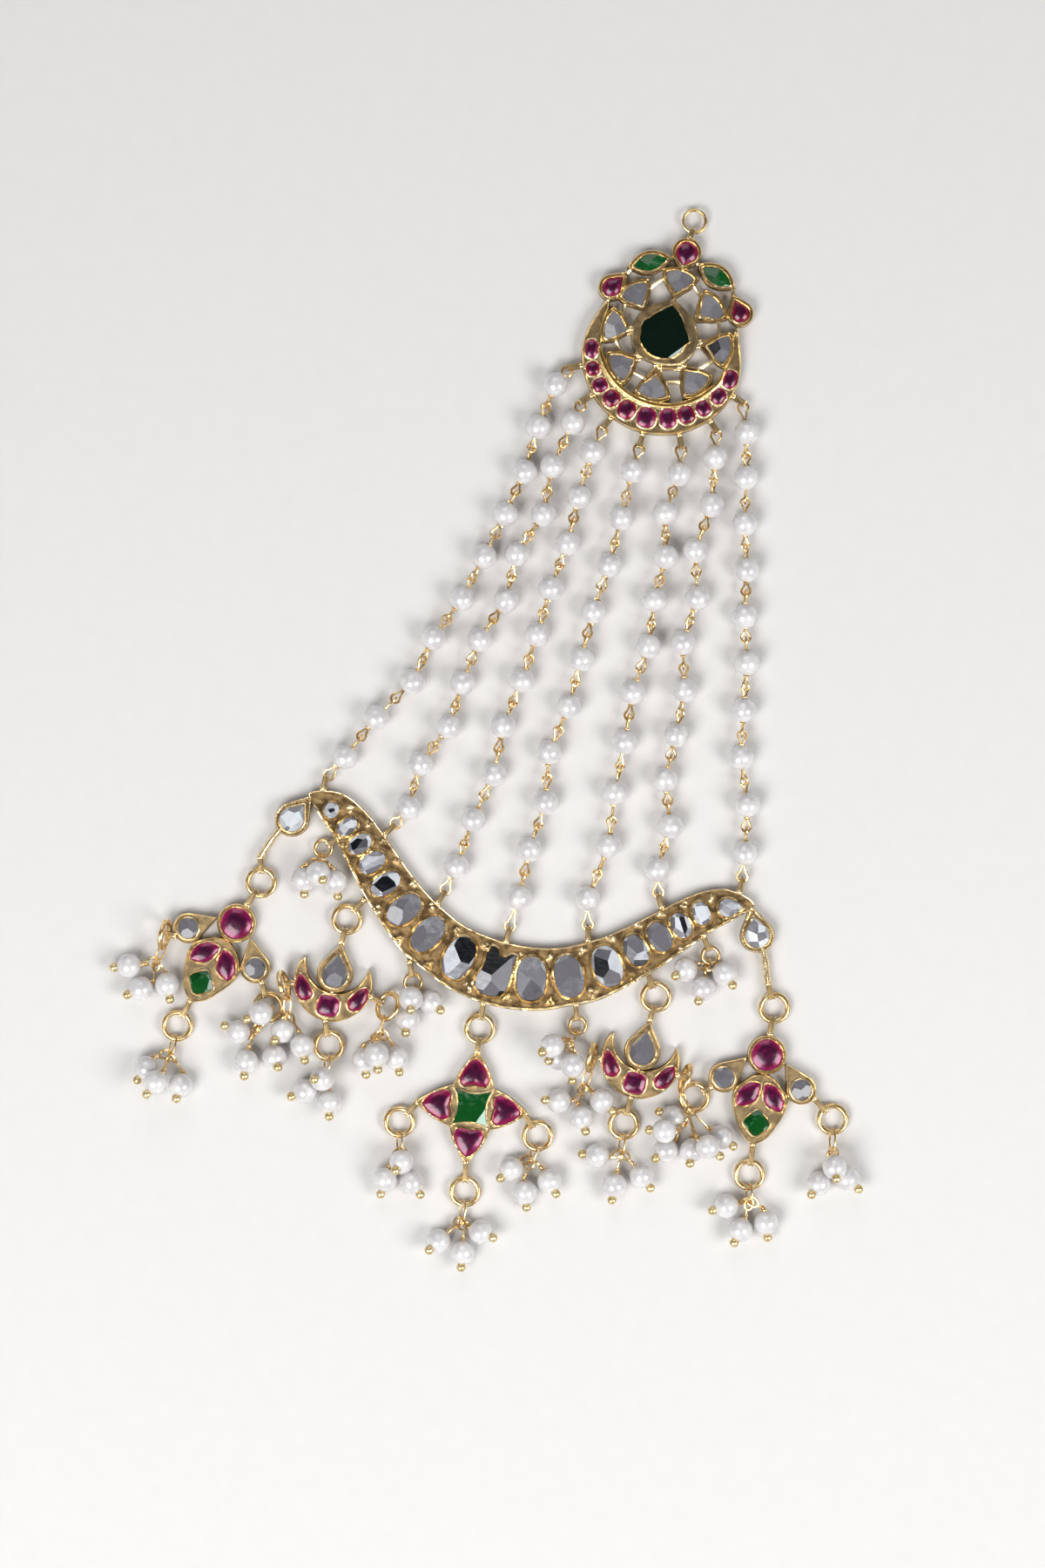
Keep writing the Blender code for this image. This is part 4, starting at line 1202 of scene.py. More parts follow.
def eye_wire(start: Vector, end: Vector, width: float, lean: float) -> Wire:
    """A wire eye: two legs from a bead's hole, and a round loop at the far end.

    Args:
        start: where the eye leaves the bead.
        end: the far side of its loop.
        width: the loop's width.
        lean: turn of its plane about its length, degrees; 0 is level.

    Returns:
        The wire.
    """
    along = (end - start).normalized()
    side, _ = frame_of(along, lean)
    half = width / 2
    centre = end - along * half
    points = [start - along * 0.3 - side * 0.08, start + along * 0.05 - side * 0.1,
              *around(centre, along * half, side * half, -140, 280, 16),
              start + along * 0.08 + side * 0.12, start + along * 0.02 + side * 0.34]
    return Wire(points, STRAND_WIRE)


def loop_wire(centre: Vector, first: Vector, second: Vector, radius: float, gap: float, seam: float,
              steps: int) -> Wire:
    """A loop of wire round a centre, with a gap of some degrees at its seam."""
    return Wire(around(centre, first, second, seam + gap / 2, 360 - gap, steps), radius)


def ring_wire(place: Matrix, radius: float, wire: float, seam: float) -> Wire:
    """A jump ring's wire, its seam at a bearing in the ring's own plane."""
    first, second = place.col[0].xyz * radius, place.col[1].xyz * radius
    return loop_wire(place.translation, first, second, wire, 2.5, seam, 48)


def bar_between(start: Pair, end: Pair, radius: float, height: float = 1.1) -> Shell:
    """A short solder rod between two places, eight-sided with swollen ends.

    Args:
        start: one end.
        end: the other end.
        radius: half its thickness.
        height: of its axis.

    Returns:
        The rod.
    """
    first, last = Vector((*start, height)), Vector((*end, height))
    side, top = frame_of((last - first).normalized())
    sides, swells = 8, ((0.0, 1.25), (0.2, 1.05), (0.5, 0.85), (0.8, 1.05), (1.0, 1.25))
    points = []
    for share, swell in swells:
        wide, high = side * (radius * swell), top * (1.3 * radius * swell)
        points += around(first.lerp(last, share), wide, high, 0, 360, sides)[:-1]
    faces = [(a, d, c, b) for a, b, c, d in skin(len(swells), sides)]
    faces += [tuple(range(sides)), tuple(range(len(points) - 1, len(points) - sides - 1, -1))]
    return Shell(np.array([tuple(point) for point in points]), faces, 0.8)


@dataclass(frozen=True)
class Lug:
    """A strap soldered upright to an edge: its root, heading and reach."""
    x: float
    y: float
    heading: float
    reach: float = STRAP_UNIT

    def inside(self, back: float) -> Vector:
        """A place in its hole, some way back from its tip."""
        return Vector((self.x, self.y, HOLE_Z)) + heading_vector(self.heading) * (self.reach - back)

    def ring_place(self, tilt: float, radius: float, wire: float) -> Matrix:
        """Where a ring sits that hangs in the lug's hole.

        Args:
            tilt: how far the ring stands up, degrees.
            radius: the ring's radius.
            wire: its wire's radius.

        Returns:
            The ring's place, its axis along Z.
        """
        ahead = heading_vector(self.heading)
        lean = Matrix.Rotation(math.radians(tilt), 4, ahead.cross(UP))
        hole = self.inside(STRAP + PLAY + wire)
        return Matrix.Translation(hole + lean @ (ahead * radius)) @ lean @ spin(self.heading)


def rim_lug(heading: float) -> Lug:
    """The lug at a heading of the medallion's rim."""
    root = heading_vector(heading) * RIM
    return Lug(root.x, RIM_Y + root.y, heading)


class Workshop:
    """The finishes and repeats that every sub-assembly uses."""

    def __init__(self) -> None:
        """Make the finishes, the node trees and the strap that the lugs share."""
        self.finishes = Finishes()
        self.wires = Wires()
        self.beads = Beads()
        self.copies = Copies()
        self.strap = self.strap_pattern()

    def add_wires(self, name: str, paths: list[Wire], replaces: tuple[str, ...] = ()) -> None:
        """Put wires along some paths into the scene as one piece."""
        mesh = self.wires.draw(name, paths, self.finishes.wire)
        add_piece(name, mesh, replaces)

    @staticmethod
    def strap_pattern() -> bpy.types.Object:
        """One lug: a grooved ribbon bent into an upright loop, its root at the origin."""
        low, high, near, far, bend = LUG_LOW, LUG_HIGH, -0.35, STRAP_UNIT, 0.42
        section = ((-0.44, -0.05), (-0.4, 0.02), (-0.3, 0.02), (-0.2, -0.13), (0.2, -0.13),
                   (0.3, 0.02), (0.4, 0.02), (0.44, -0.05), (0.4, -STRAP), (-0.4, -STRAP))
        corners = ((far - bend, low + bend, -90), (far - bend, high - bend, 0),
                   (near + bend, high - bend, 90), (near + bend, low + bend, 180))
        points, polish = [], []
        for x, z, start in corners:
            for step in range(7):
                angle = math.radians(start + 15 * step)
                cos, sin = math.cos(angle), math.sin(angle)
                for across, out in section:
                    points.append((across, -(x + (bend + out) * cos), z + (bend + out) * sin))
                    polish.append(1.0 if out > -0.05 and abs(across) > 0.25 else 0.35)
        mesh = bpy.data.meshes.new("strap")
        mesh.from_pydata((np.array(points) * MM).tolist(), [],
                         skin(len(points) // len(section), len(section), True))
        mesh.attributes.new("polish", "FLOAT", "POINT").data.foreach_set("value", polish)
        built = bmesh.new()
        built.from_mesh(mesh)
        bmesh.ops.recalc_face_normals(built, faces=built.faces)
        built.to_mesh(mesh)
        built.free()
        return bpy.data.objects.new("strap_pattern", mesh)

    def lugs(self, name: str, lugs: list[Lug]) -> Shell:
        """Straps for some lugs, with a solder bead at each root.

        Args:
            name: name of the meshes.
            lugs: the lugs.

        Returns:
            All of them as one shell.
        """
        places = [Vector((lug.x, lug.y, 0.0)) for lug in lugs]
        turns = [math.radians(lug.heading) for lug in lugs]
        sizes = [(1.0, lug.reach / STRAP_UNIT, 1.0) for lug in lugs]
        straps = self.copies.run(name, cloud(places, sizes, turns), Pattern=self.strap)
        roots = [place + heading_vector(lug.heading) * 0.22 + UP * 1.25
                 for place, lug in zip(places, lugs)]
        beads = self.beads.run(name, cloud(roots, [(1.0, 0.75, 0.9)] * len(roots), turns),
                               Radius=0.62 * MM, Segments=12, Rings=8)
        return merged([shell_from(straps, 0.7), shell_from(beads, 0.95)])


# Medallion

@dataclass(frozen=True)
class Petal:
    """A triangular setting: bearing, radius, facing, reach to the bezel, and its facets' painted
    reflection tones.
    """
    bearing: float
    radius: float
    facing: float
    apex: float
    painted_reflections: Triple

    def place(self) -> Matrix:
        """Where it lies, its apex towards -Y before it is turned."""
        angle = math.radians(self.bearing)
        return (shift(self.radius * math.cos(angle), self.radius * math.sin(angle))
                @ spin(self.facing - 90))

    @staticmethod
    def outline(apex: float) -> Points:
        """A petal's outline, its apex at -Y."""
        half = [(1.12, -0.5 * apex - 0.25), (2.2, -0.6), (3.02, 1.3), (1.6, 2.15)]
        return smooth_loop([(0.0, -apex), *half, (0.0, 2.4), *mirrored(half)], (0, 3, 7))


class Shape(Enum):
    """How a setting of the crest is shaped, and what stands in it."""
    RUBY = "pear"
    GREEN = "marquise"


@dataclass(frozen=True)
class CrestStone:
    """A setting of the crest: its shape, place, turn and sizes."""
    shape: Shape
    x: float
    y: float
    turn: float
    radius: float
    tip: float


@dataclass
class Medallion:
    """The openwork medallion: crescent, bezel, petals, crest and lugs."""
    shop: Workshop
    inner: float = 10.3
    inner_y: float = -0.3
    centre_x: float = -0.4
    gold: list[Shell] = field(default_factory=list)
    # The last three numbers of each petal are painted reflection tones; 0.12 paints a dark
    # reflection on one facet.
    petals: ClassVar[tuple[Petal, ...]] = (
        Petal(92, 8.7, 89, 2.9, (0.52, 0.44, 0.50)), Petal(141, 8.0, 132, 3.0, (0.50, 0.46, 0.55)),
        Petal(184, 8.25, 177, 2.8, (0.46, 0.56, 0.48)),
        Petal(227, 8.45, 221, 3.3, (0.47, 0.56, 0.50)),
        Petal(269, 8.45, 273, 4.0, (0.50, 0.46, 0.56)),
        Petal(314, 8.2, 321, 3.5, (0.56, 0.42, 0.48)),
        Petal(0, 8.45, 1, 3.8, (0.50, 0.12, 0.56)), Petal(46, 7.9, 52, 3.4, (0.46, 0.52, 0.44)))
    crest: ClassVar[tuple[CrestStone, ...]] = (
        CrestStone(Shape.RUBY, -0.20, 13.5, 180, 2.40, 3.00),
        CrestStone(Shape.GREEN, -5.50, 10.6, 26, 1.95, 3.70),
        CrestStone(Shape.GREEN, 5.30, 11.0, -19, 1.95, 3.60),
        CrestStone(Shape.RUBY, -10.40, 5.3, -32, 2.15, 3.60),
        CrestStone(Shape.RUBY, 10.40, 6.2, 36, 2.10, 3.50),
    )
    rubies: ClassVar[tuple[tuple[float, float, float, float], ...]] = (
        (-170.0, 11.3, 1.45, 1.0), (-154.0, 11.35, 1.1, 1.1), (-139.5, 11.1, 1.15, 1.2),
        (-125.0, 10.75, 1.3, 1.35), (-109.0, 10.55, 1.4, 1.5), (-90.5, 10.4, 1.5, 1.62),
        (-71.5, 10.25, 1.35, 1.55), (-55.0, 10.35, 1.35, 1.38), (-39.5, 10.75, 1.15, 1.25),
        (-23.5, 11.1, 1.3, 1.1), (-7.0, 11.4, 1.5, 1.1))
    rods: ClassVar[tuple[tuple[Pair, Pair], ...]] = (
        ((-2.9, 11.9), (-1.5, 12.6)), ((2.6, 12.0), (1.2, 12.6)), ((-8.0, 9.3), (-9.0, 7.5)),
        ((8.0, 10.1), (8.9, 8.2)))
    top_lug: ClassVar[Lug] = Lug(-0.2, 15.7, 180, 1.9)

    def ruby_row(self) -> list[Points]:
        """Outlines of the crescent's eleven rubies."""
        row = []
        for bearing, radius, wide, long in self.rubies:
            angle = math.radians(bearing)
            place = shift(radius * math.cos(angle), RIM_Y + radius * math.sin(angle))
            row.append(set_at(oval(wide, long, 2.5), place @ spin(bearing + 90)))
        return row

    def ledge(self, points: Points, _: Points) -> tuple[Points, Points]:
        """A bright double ledge beside the crescent's inner edge, and pricks between its rubies.

        Args:
            points: places on the crescent.

        Returns:
            What they rise, and their polish.
        """
        inward = np.hypot(points[:, 0], points[:, 1] - self.inner_y) - self.inner
        ridge = bump(inward, 0.18, 0.3) + 0.9 * bump(inward, 0.82, 0.36)
        ridge *= ramp(-points[:, 1], 1.5, 3)
        out = np.hypot(points[:, 0], points[:, 1] - RIM_Y)
        bearing = np.degrees(np.arctan2(points[:, 1] - RIM_Y, points[:, 0]))
        turns = np.array([ruby[0] for ruby in self.rubies])
        gaps = (turns[:-1] + turns[1:]) / 2
        apart = np.radians(np.abs(bearing[:, None] - gaps).min(axis=1)) * out
        pricks = bump(np.hypot(apart, out - 11.75), 0.0, 0.42)
        return 0.35 * ridge - 0.55 * pricks, 1.7 * ridge - 0.5 * pricks

    def crescent(self) -> Relief:
        """The crescent plate with its pits and its inner ledge."""
        horn = [(12.33, -0.9), (11.6, 1.2), (10.9, 3.0), (10.55, 4.3)]
        outer = arc(RIM, RIM_Y, range(-170, -9, 8))
        inner = arc(self.inner, self.inner_y, range(14, -195, -8))
        loop = smooth_loop([*mirrored(horn), *outer, *horn, *inner],
                           (0, 2 * len(horn) + len(outer) - 1))
        seats = [Seat(ruby, 0.22, 0.3, 0.55) for ruby in self.ruby_row()]
        return Relief(loop, seats, rims=((0.2, 0.24, 0.28),), shine=0.25, lines=(0.55, 0.82, 1.1),
                      extra=self.ledge)

    def nicked_rim(self, points: Points, depth: Points) -> tuple[Points, Points]:
        """The bezel's bright rim up to a nick at the top right, and a lower plain edge beyond.

        Args:
            points: places on the bezel.
            depth: how far they lie inside its edge.

        Returns:
            What they rise, and their polish.
        """
        bearing = np.degrees(np.arctan2(points[:, 1], points[:, 0] - self.centre_x))
        along = ramp(bearing, -215, 40) * ramp(-bearing, -36, 3)
        along[bearing > 140] = 0.0
        ridge = bump(depth, 0.15, 0.22) * along
        low = ramp(-depth, -0.9, 0.9) * ramp(bearing, 34, 3) * ramp(-bearing, -150, 30)
        return 0.25 * ridge - 0.28 * low, ridge

    def bezel(self) -> Relief:
        """The wide band round the centre stone."""
        half = [(1.6, -4.7), (3.5, -4.0), (4.9, -2.4), (5.4, -0.3), (5.0, 1.8), (3.6, 3.7),
                (1.6, 5.0)]
        loop = smooth_loop([(0.0, 6.1), *mirrored(half), (0.0, -4.85), *half], (0,))
        seat = Seat(self.centre_loop(), 0.32, 0.26, 0.7, 0.7)
        return Relief(loop + (self.centre_x, 0.0), [seat], plate=2.0, rims=(), shine=0.24,
                      extra=self.nicked_rim)

    def centre_loop(self) -> Points:
        """The centre stone's uneven outline, nicked where the collet grips it."""
        points = [(0.0, 4.75), (-0.9, 4.1), (-1.75, 3.35), (-2.6, 2.55), (-3.0, 1.95),
                  (-3.75, 1.35), (-3.95, 0.5), (-3.75, -0.6), (-3.75, -1.5), (-3.0, -2.5),
                  (-1.9, -3.35), (-0.5, -3.7), (0.9, -3.6), (1.9, -3.25), (2.6, -2.5),
                  (3.2, -1.7), (3.4, -0.9), (3.95, -0.25), (3.55, 0.75), (2.95, 1.5),
                  (2.55, 2.2), (1.95, 3.2), (1.1, 4.0)]
        return smooth_loop(points, (0, 4, 17), 0.18) + (self.centre_x, 0.0)

    def add_petals(self) -> list[Shell]:
        """Add the petals, the struts that join them and the solder at their points.

        Returns:
            The petals' grey stones.
        """
        greys, struts, points = [], [], []
        for petal in self.petals:
            place = petal.place()
            seat = inset(set_at(petal.outline(2.85), place), 0.66)
            self.gold.append(Relief(set_at(petal.outline(petal.apex), place),
                                    [Seat(seat, 0.3, 0.3, 0.45, 0.5)]).shell())
            facets = tuple((*facet[:3], tone)
                           for facet, tone in zip(Cut.THREE.value, petal.painted_reflections))
            greys.append(Stone(inset(seat, 0.02, 36), facets, 1.3, 2.3, petal.facing - 25,
                               sides=3).shell())
            high = math.sin(math.radians(petal.bearing))
            struts.append([place @ Vector((side * (1.9 + 0.4 * high), 0.7 * high - 0.4, 0.0))
                           for side in (1, -1)])
            if high < 0.1:
                points += [place @ Vector((side, foot - petal.apex, 2.45 + 0.4 * side))
                           for side, foot in ((0.0, 0.1), (0.4, 0.45), (-0.34, 0.65))]
        for here, after in zip(struts, struts[1:] + struts[:1]):
            self.gold.append(bar_between(here[1].xy, after[0].xy, 0.36, 1.15))
        solder = self.shop.beads.run("solder", cloud(points), Radius=0.5 * MM, Segments=16,
                                     Rings=10)
        flat = Matrix.Diagonal((1.0, 1.0, 0.65, 1.0))
        self.gold.append(shell_from(solder, 0.7).moved(flat))
        return greys

    def add_crest(self) -> tuple[list[Shell], list[Shell]]:
        """Add the crest's settings, and the rods between them.

        Returns:
            The rubies, the crescent's among them, and the green stones.
        """
        rubies, greens = [], []
        for stone in self.crest:
            ruby = stone.shape is Shape.RUBY
            outline = pear(stone.radius, stone.tip) if ruby else marquise(stone.tip, stone.radius)
            loop = set_at(outline, shift(stone.x, stone.y) @ spin(stone.turn))
            seat = inset(loop, 0.66, 40, np.array((stone.x, stone.y)))
            self.gold.append(Relief(loop, [Seat(seat, 0.28, 0.3, 0.5, 0.45)]).shell())
            outline = inset(seat, 0.02, 30)
            if ruby:
                rubies.append(dome(outline, 1.7, 2.25, base=1.3))
                continue
            # Painted reflection: the right green stone's last facet is painted bright.
            facets = ((20, 14, 0, 0.55), (130, 16, 0, 0.35), (215, 24, 0.7, 0.45),
                      (300, 30, 1.1, 1.0 if stone.x > 0 else 0.5))
            greens.append(Stone(outline, facets, 1.3, 2.3, 0, 0.1, 9, (0.35, 0.6)).shell())
        self.gold.append(bar_between((-0.1, -5.4), (3.4, -4.6), 0.3))
        self.gold += [bar_between(start, end, 0.4) for start, end in self.rods]
        rubies += [dome(inset(loop, 0.03, 28), 1.8, 2.15) for loop in self.ruby_row()]
        return rubies, greens

    def dress(self) -> None:
        """Make the casting, its stones, its lugs and the ring on top."""
        finishes = self.shop.finishes
        self.gold += [self.crescent().shell(), self.bezel().shell()]
        greys = self.add_petals()
        rubies, greens = self.add_crest()
        lugs = [self.top_lug, *(rim_lug(heading) for heading, *_ in STRANDS)]
        self.gold.append(self.shop.lugs("medallion_lugs", lugs))
        make_piece("medallion_gold", self.gold, finishes.cast, ("medallion",), 40)
        make_piece("medallion_grey_stones", greys, finishes.foil)
        make_piece("medallion_rubies", rubies, finishes.ruby, (), 50)
        make_piece("medallion_green_stones", greens, finishes.emerald)
        # Painted reflection: the tone 1.0 paints a bright bevel facet at the lower right.
        facets = ((0, 0, 0, 0.45), (-40, 40, 3.35, 1.0), (150, 6, 1.6, 0.3),
                  (60, 7, 1.7, 0.4), (-120, 7, 1.8, 0.3))
        centre = Stone(inset(self.centre_loop(), 0.03, 60), facets, HIDDEN, 2.65, sides=0,
                       edges=(0.2, 0.5))
        make_piece("centre_stone", [centre.shell()], finishes.night,
                   ("centre_emerald",))
        place = self.top_lug.ring_place(0, TOP_RING, TOP_WIRE)
        self.shop.add_wires("top_ring", [ring_wire(place, TOP_RING, TOP_WIRE, 60)],
                            ("hanging_ring",))


# Strands

@dataclass
class Strand:
    """Ten pearls from a medallion lug to a bar lug, linked by wire eyes."""
    shop: Workshop
    number: int
    lug_heading: float
    first: Pair
    last: Pair
    crowd: float
    sways: tuple[float, ...]
    bar_lug: Lug

    def places(self) -> list[Vector]:
        """The pearls' centres."""
        first = Vector((*self.first, STRAND_PEARL))
        run = Vector((*self.last, STRAND_PEARL)) - first
        along = run.normalized()
        aside = Vector((-along.y, along.x, 0.0))
        sways = (0.0, *self.sways, 0.0)
        places = []
        for i, sway in enumerate(sways):
            share = i / (len(sways) - 1)
            slip = self.crowd * 4 * share * (1 - share)
            places.append(first + run * share - along * slip + aside * sway)
        return places

    def eyes(self, i: int, start: Vector, end: Vector) -> list[Wire]:
        """The wire between two stops of the strand.

        Args:
            i: number of the gap, 0 at the medallion's lug and 10 at the bar's.
            start: the upper stop, a pearl's centre or a place in the lug.
            end: the lower stop.

        Returns:
            One eye at a lug, or two linked eyes between pearls.
        """
        run = (end - start).normalized()
        upper, lower = start + run * STRAND_PEARL, end - run * STRAND_PEARL
        if i == 0:
            return [eye_wire(lower, start, 1.7, 8)]
        if i == len(self.sways) + 2:
            return [eye_wire(upper, end, 1.7, -8)]
        lean = 35 + 47 * math.sin(5.1 * i + 2.3 * self.number)
        middle = (upper + lower) / 2
        return [eye_wire(upper, middle + run * 0.45, 1.45, lean),
                eye_wire(lower, middle - run * 0.45, 1.45, lean + 85)]

    def dress(self) -> None:
        """Make the pearls and the wire."""
        places, name = self.places(), f"strand_{self.number}"
        turns = [0.7 * i for i in range(len(places))]
        pearls = self.shop.beads.run(name + "_pearls", cloud(places, None, turns),
                                     Radius=STRAND_PEARL * MM, Finish=self.shop.finishes.pearl)
        add_piece(name + "_pearls", pearls, ("pearl_" + name,))
        stops = [rim_lug(self.lug_heading).inside(0.75), *places, self.bar_lug.inside(0.75)]
        paths = []
        for i, (start, end) in enumerate(zip(stops, stops[1:])):
            paths += self.eyes(i, start, end)
            run = (end - start).normalized()
            for pearl, way in ((start, run), (end, -run)):
                if pearl in places and (i + self.number) % 3:
                    side, top = frame_of(way)
                    paths.append(loop_wire(pearl + way * (STRAND_PEARL + 0.02), side * 0.42,
                                           top * 0.42, 0.13, 60, 40 * i, 14))
        self.shop.add_wires(name + "_wire", paths)


STRANDS = (
    (-67.8, (-15.3, -11.8), (-33.4, -77.1), 0.9, (0.9, 2.5, 3.2, 3.5, 3.8, 2.9, 3.4, 1.2),
     Lug(-35.5, -83.0, 183)),
    (-45.7, (-11.2, -17.0), (-21.7, -82.4), -0.6, (-0.3, 1.4, 0.0, 1.3, -0.1, 0.1, 0.9, -1.0),
     Lug(-24.4, -87.6, 149)),
    (-25.1, (-7.1, -20.7), (-12.1, -89.6), 0.5, (0.2, 0.8, 0.5, 0.7, 0.7, 0.1, 1.1, 0.2),
     Lug(-13.6, -96.1, 163)),
    (0.0, (-0.2, -22.1), (-1.3, -92.0), 0.2, (0.2, 0.3, -0.3, -0.2, -0.1, -1.3, 0.2, -0.3),
     Lug(-1.5, -99.4, 183)),
    (25.5, (7.1, -20.8), (9.3, -89.5), 2.9, (-0.9, 0.7, 0.4, 1.0, 0.1, 0.5, 0.7, 1.5),
     Lug(11.0, -96.1, 194)),
    (49.1, (12.0, -16.9), (18.9, -82.4), -0.5, (0.5, -1.1, 0.3, -1.0, 0.3, 0.0, -0.8, 1.1),
     Lug(21.1, -88.2, 210)),
    (72.7, (15.9, -11.8), (31.7, -76.5), 0.5, (-0.1, -0.3, 0.1, -0.2, 0.2, -0.3, -0.7, 0.4),
     Lug(32.4, -82.9, 180)),
)


# Bar

@dataclass(frozen=True)
class BarStone:
    """A stone of the bar: its place, its sizes, its facets with their painted reflection tones, and
    the painted reflection tones of its side facets.
    """
    x: float
    wide: float
    long: float
    facets: tuple[Facet, ...]
    edges: Pair
    lift: float = 0.0           # how far it sits above the bar's midline, mm


@dataclass
class Bar:
    """The curved bar with its stones, end tears, arms and lugs."""
    shop: Workshop
    middle_x: float = -1.2
    upper: ClassVar[tuple[Pair, ...]] = (
        (3.0, -99.2), (8.5, -98.0), (10.6, -97.0), (14.3, -94.9), (17.5, -92.5),
        (21.0, -89.5), (24.8, -86.2), (28.0, -84.0), (31.5, -82.7), (36.4, -84.2))
    lower: ClassVar[tuple[Pair, ...]] = (
        (4.5, -109.3), (8.5, -108.3), (11.6, -106.9), (16.2, -104.7), (19.0, -102.4),
        (21.2, -100.4), (25.3, -96.2), (28.2, -92.9), (31.3, -89.4), (34.2, -86.8))
    # Each facet's last number and each pair of side tones are painted reflections, light or dark.
    stones: ClassVar[tuple[BarStone, ...]] = (
        BarStone(-33.4, 2.3, 2.5, ((0, 0, 0, 0.06),), (0.7, 0.85)),
        BarStone(-30.4, 2.4, 3.6, ((60, 12, 0, 0.95), (240, 12, 0, 0.6)), (0.35, 0.9)),
        BarStone(-27.8, 2.8, 4.0, ((150, 9, 0, 0), (-40, 12, 0, 0.2)), (0.5, 1.0)),
        BarStone(-25.2, 2.9, 4.6, ((120, 7, 0, 0.8), (-60, 9, 0, 0.7)), (0.5, 0.8)),
        BarStone(-22.3, 3.2, 5.1, ((0, 0, 0, 0), (50, 24, 1.2, 0.9), (235, 20, 1.4, 0.9)),
                 (0.5, 0.95)),
        BarStone(-18.5, 4.0, 6.1, ((100, 14, 0.3, 0.42), (20, 16, 0.2, 0.58), (-50, 13, 0.3, 0.46),
                 (215, 17, 0.4, 0.38)), (0.4, 0.65)),
        BarStone(-13.9, 4.1, 6.5, ((165, 16, 0, 0.48), (60, 15, 0, 0.62), (-45, 19, 0, 0.28)),
                 (0.45, 0.7)),
        BarStone(-8.2, 4.6, 7.1, ((180, 13, 0, 0.86), (40, 16, 0.1, 0.02), (-75, 18, 0.9, 0.66)),
                 (0.5, 0.9)),
        BarStone(-2.1, 5.6, 7.9, ((110, 17, 0, 0.02), (-25, 15, -0.1, 0.5), (-88, 17, 1.3, 0.43),
                 (195, 16, 1.0, 0.6)), (0.02, 0.55)),
        BarStone(3.7, 4.9, 7.1, ((100, 16, 0, 0.62), (5, 17, 0, 0.46), (-80, 15, 0, 0.34),
                 (190, 16, 0, 0.48)), (0.5, 0.75)),
        BarStone(9.4, 4.7, 6.8, ((55, 9, 0, 0.5), (180, 8, 0, 0.46), (-70, 10, 0, 0.56)),
                 (0.45, 0.7)),
        BarStone(14.9, 4.6, 6.7, ((185, 11, 0.1, 0), (110, 15, 1.0, 0.34), (15, 20, 0.5, 0.88),
                 (-55, 18, 0.8, 0.5)), (0.6, 0.95)),
        BarStone(18.9, 3.6, 5.2, ((90, 8, 0, 0.5), (-60, 22, 0.7, 0.8), (200, 12, 0.3, 0.4)),
                 (0.2, 0.8), 0.3),
        BarStone(22.1, 3.5, 4.9, ((60, 6, 0, 0.5), (240, 6, 0, 0.44)), (0.35, 0.6), 0.35),
        BarStone(24.9, 3.0, 4.2, ((200, 18, 0.5, 0.02), (190, 9, 0, 0.95), (25, 10, 0.1, 0.02),
                 (10, 22, 0.7, 0.95)), (0.3, 0.9), 0.35),
        BarStone(27.7, 2.7, 3.8, ((100, 5, 0, 1.0), (-80, 8, 0, 0.92)), (0.5, 1.0), 0.6),
        BarStone(31.3, 2.6, 3.4, ((60, 9, 0, 0.78), (230, 12, 0.1, 0.5)), (0.6, 0.85)),
    )
    tear: ClassVar[Triple] = (38.0, -88.7, 26.0)
    arm: ClassVar[tuple[Pair, ...]] = ((39.3, -90.4), (40.7, -93.0), (41.4, -95.8))

    def edges_at(self, x: float) -> Pair:
        """The lower and the upper edge's height at x from the bar's mirror line."""
        low, high = (float(np.interp(abs(x), *zip(*edge))) for edge in (self.lower, self.upper))
        return low, high

    def midline(self, x: float) -> float:
        """The height of the bar's midline."""
        return sum(self.edges_at(x)) / 2

    def on_midline(self, x: float) -> Matrix:
        """A place on the midline at x from the mirror line, turned along it."""
        rise = self.midline(x + 1.0) - self.midline(x - 1.0)
        return (shift(x + self.middle_x, self.midline(x))
                @ spin(math.degrees(math.atan2(rise, 2.0))))

    def stone_place(self, stone: BarStone) -> Matrix:
        """A stone's place, its long axis across the bar."""
        return self.on_midline(stone.x - self.middle_x) @ shift(0.0, stone.lift)

    def stone_loop(self, stone: BarStone) -> Points:
        """A stone's outline; the middle one is notched on top, and the last comes to a point.

        Args:
            stone: one of the bar's stones.

        Returns:
            Its outline in place.
        """
        loop = oval(stone.wide / 2, stone.long / 2, 2.3)
        if stone is self.stones[-1]:
            loop = smooth_loop([(-1.5, 0.5), (-1.0, 1.35), (0.2, 1.6), (1.3, 1.1), (2.2, 0.0),
                                (1.2, -0.75), (0.0, -1.3), (-1.1, -1.0), (-1.55, -0.3)], (4,), 0.18)
        elif stone is self.stones[8]:
            loop = smooth_loop([(0.3, 2.55), (1.1, 2.65), (1.9, 3.3), (2.85, 3.1), (2.55, 1.6),
                                (2.6, -0.6), (2.35, -2.4), (1.5, -3.6), (0.0, -3.95), (-1.7, -3.7),
                                (-2.7, -2.6), (-2.6, -1.0), (-2.0, 0.8), (-1.95, 2.6), (-1.2, 3.9),
                                (-0.5, 3.7)], (3,))
        return set_at(loop, self.stone_place(stone))

    def loop(self) -> Points:
        """The bar's outline."""
        right = [*self.upper, *reversed(self.lower)]
        return smooth_loop([(x + self.middle_x, y) for x, y in (*right, *mirrored(right))])

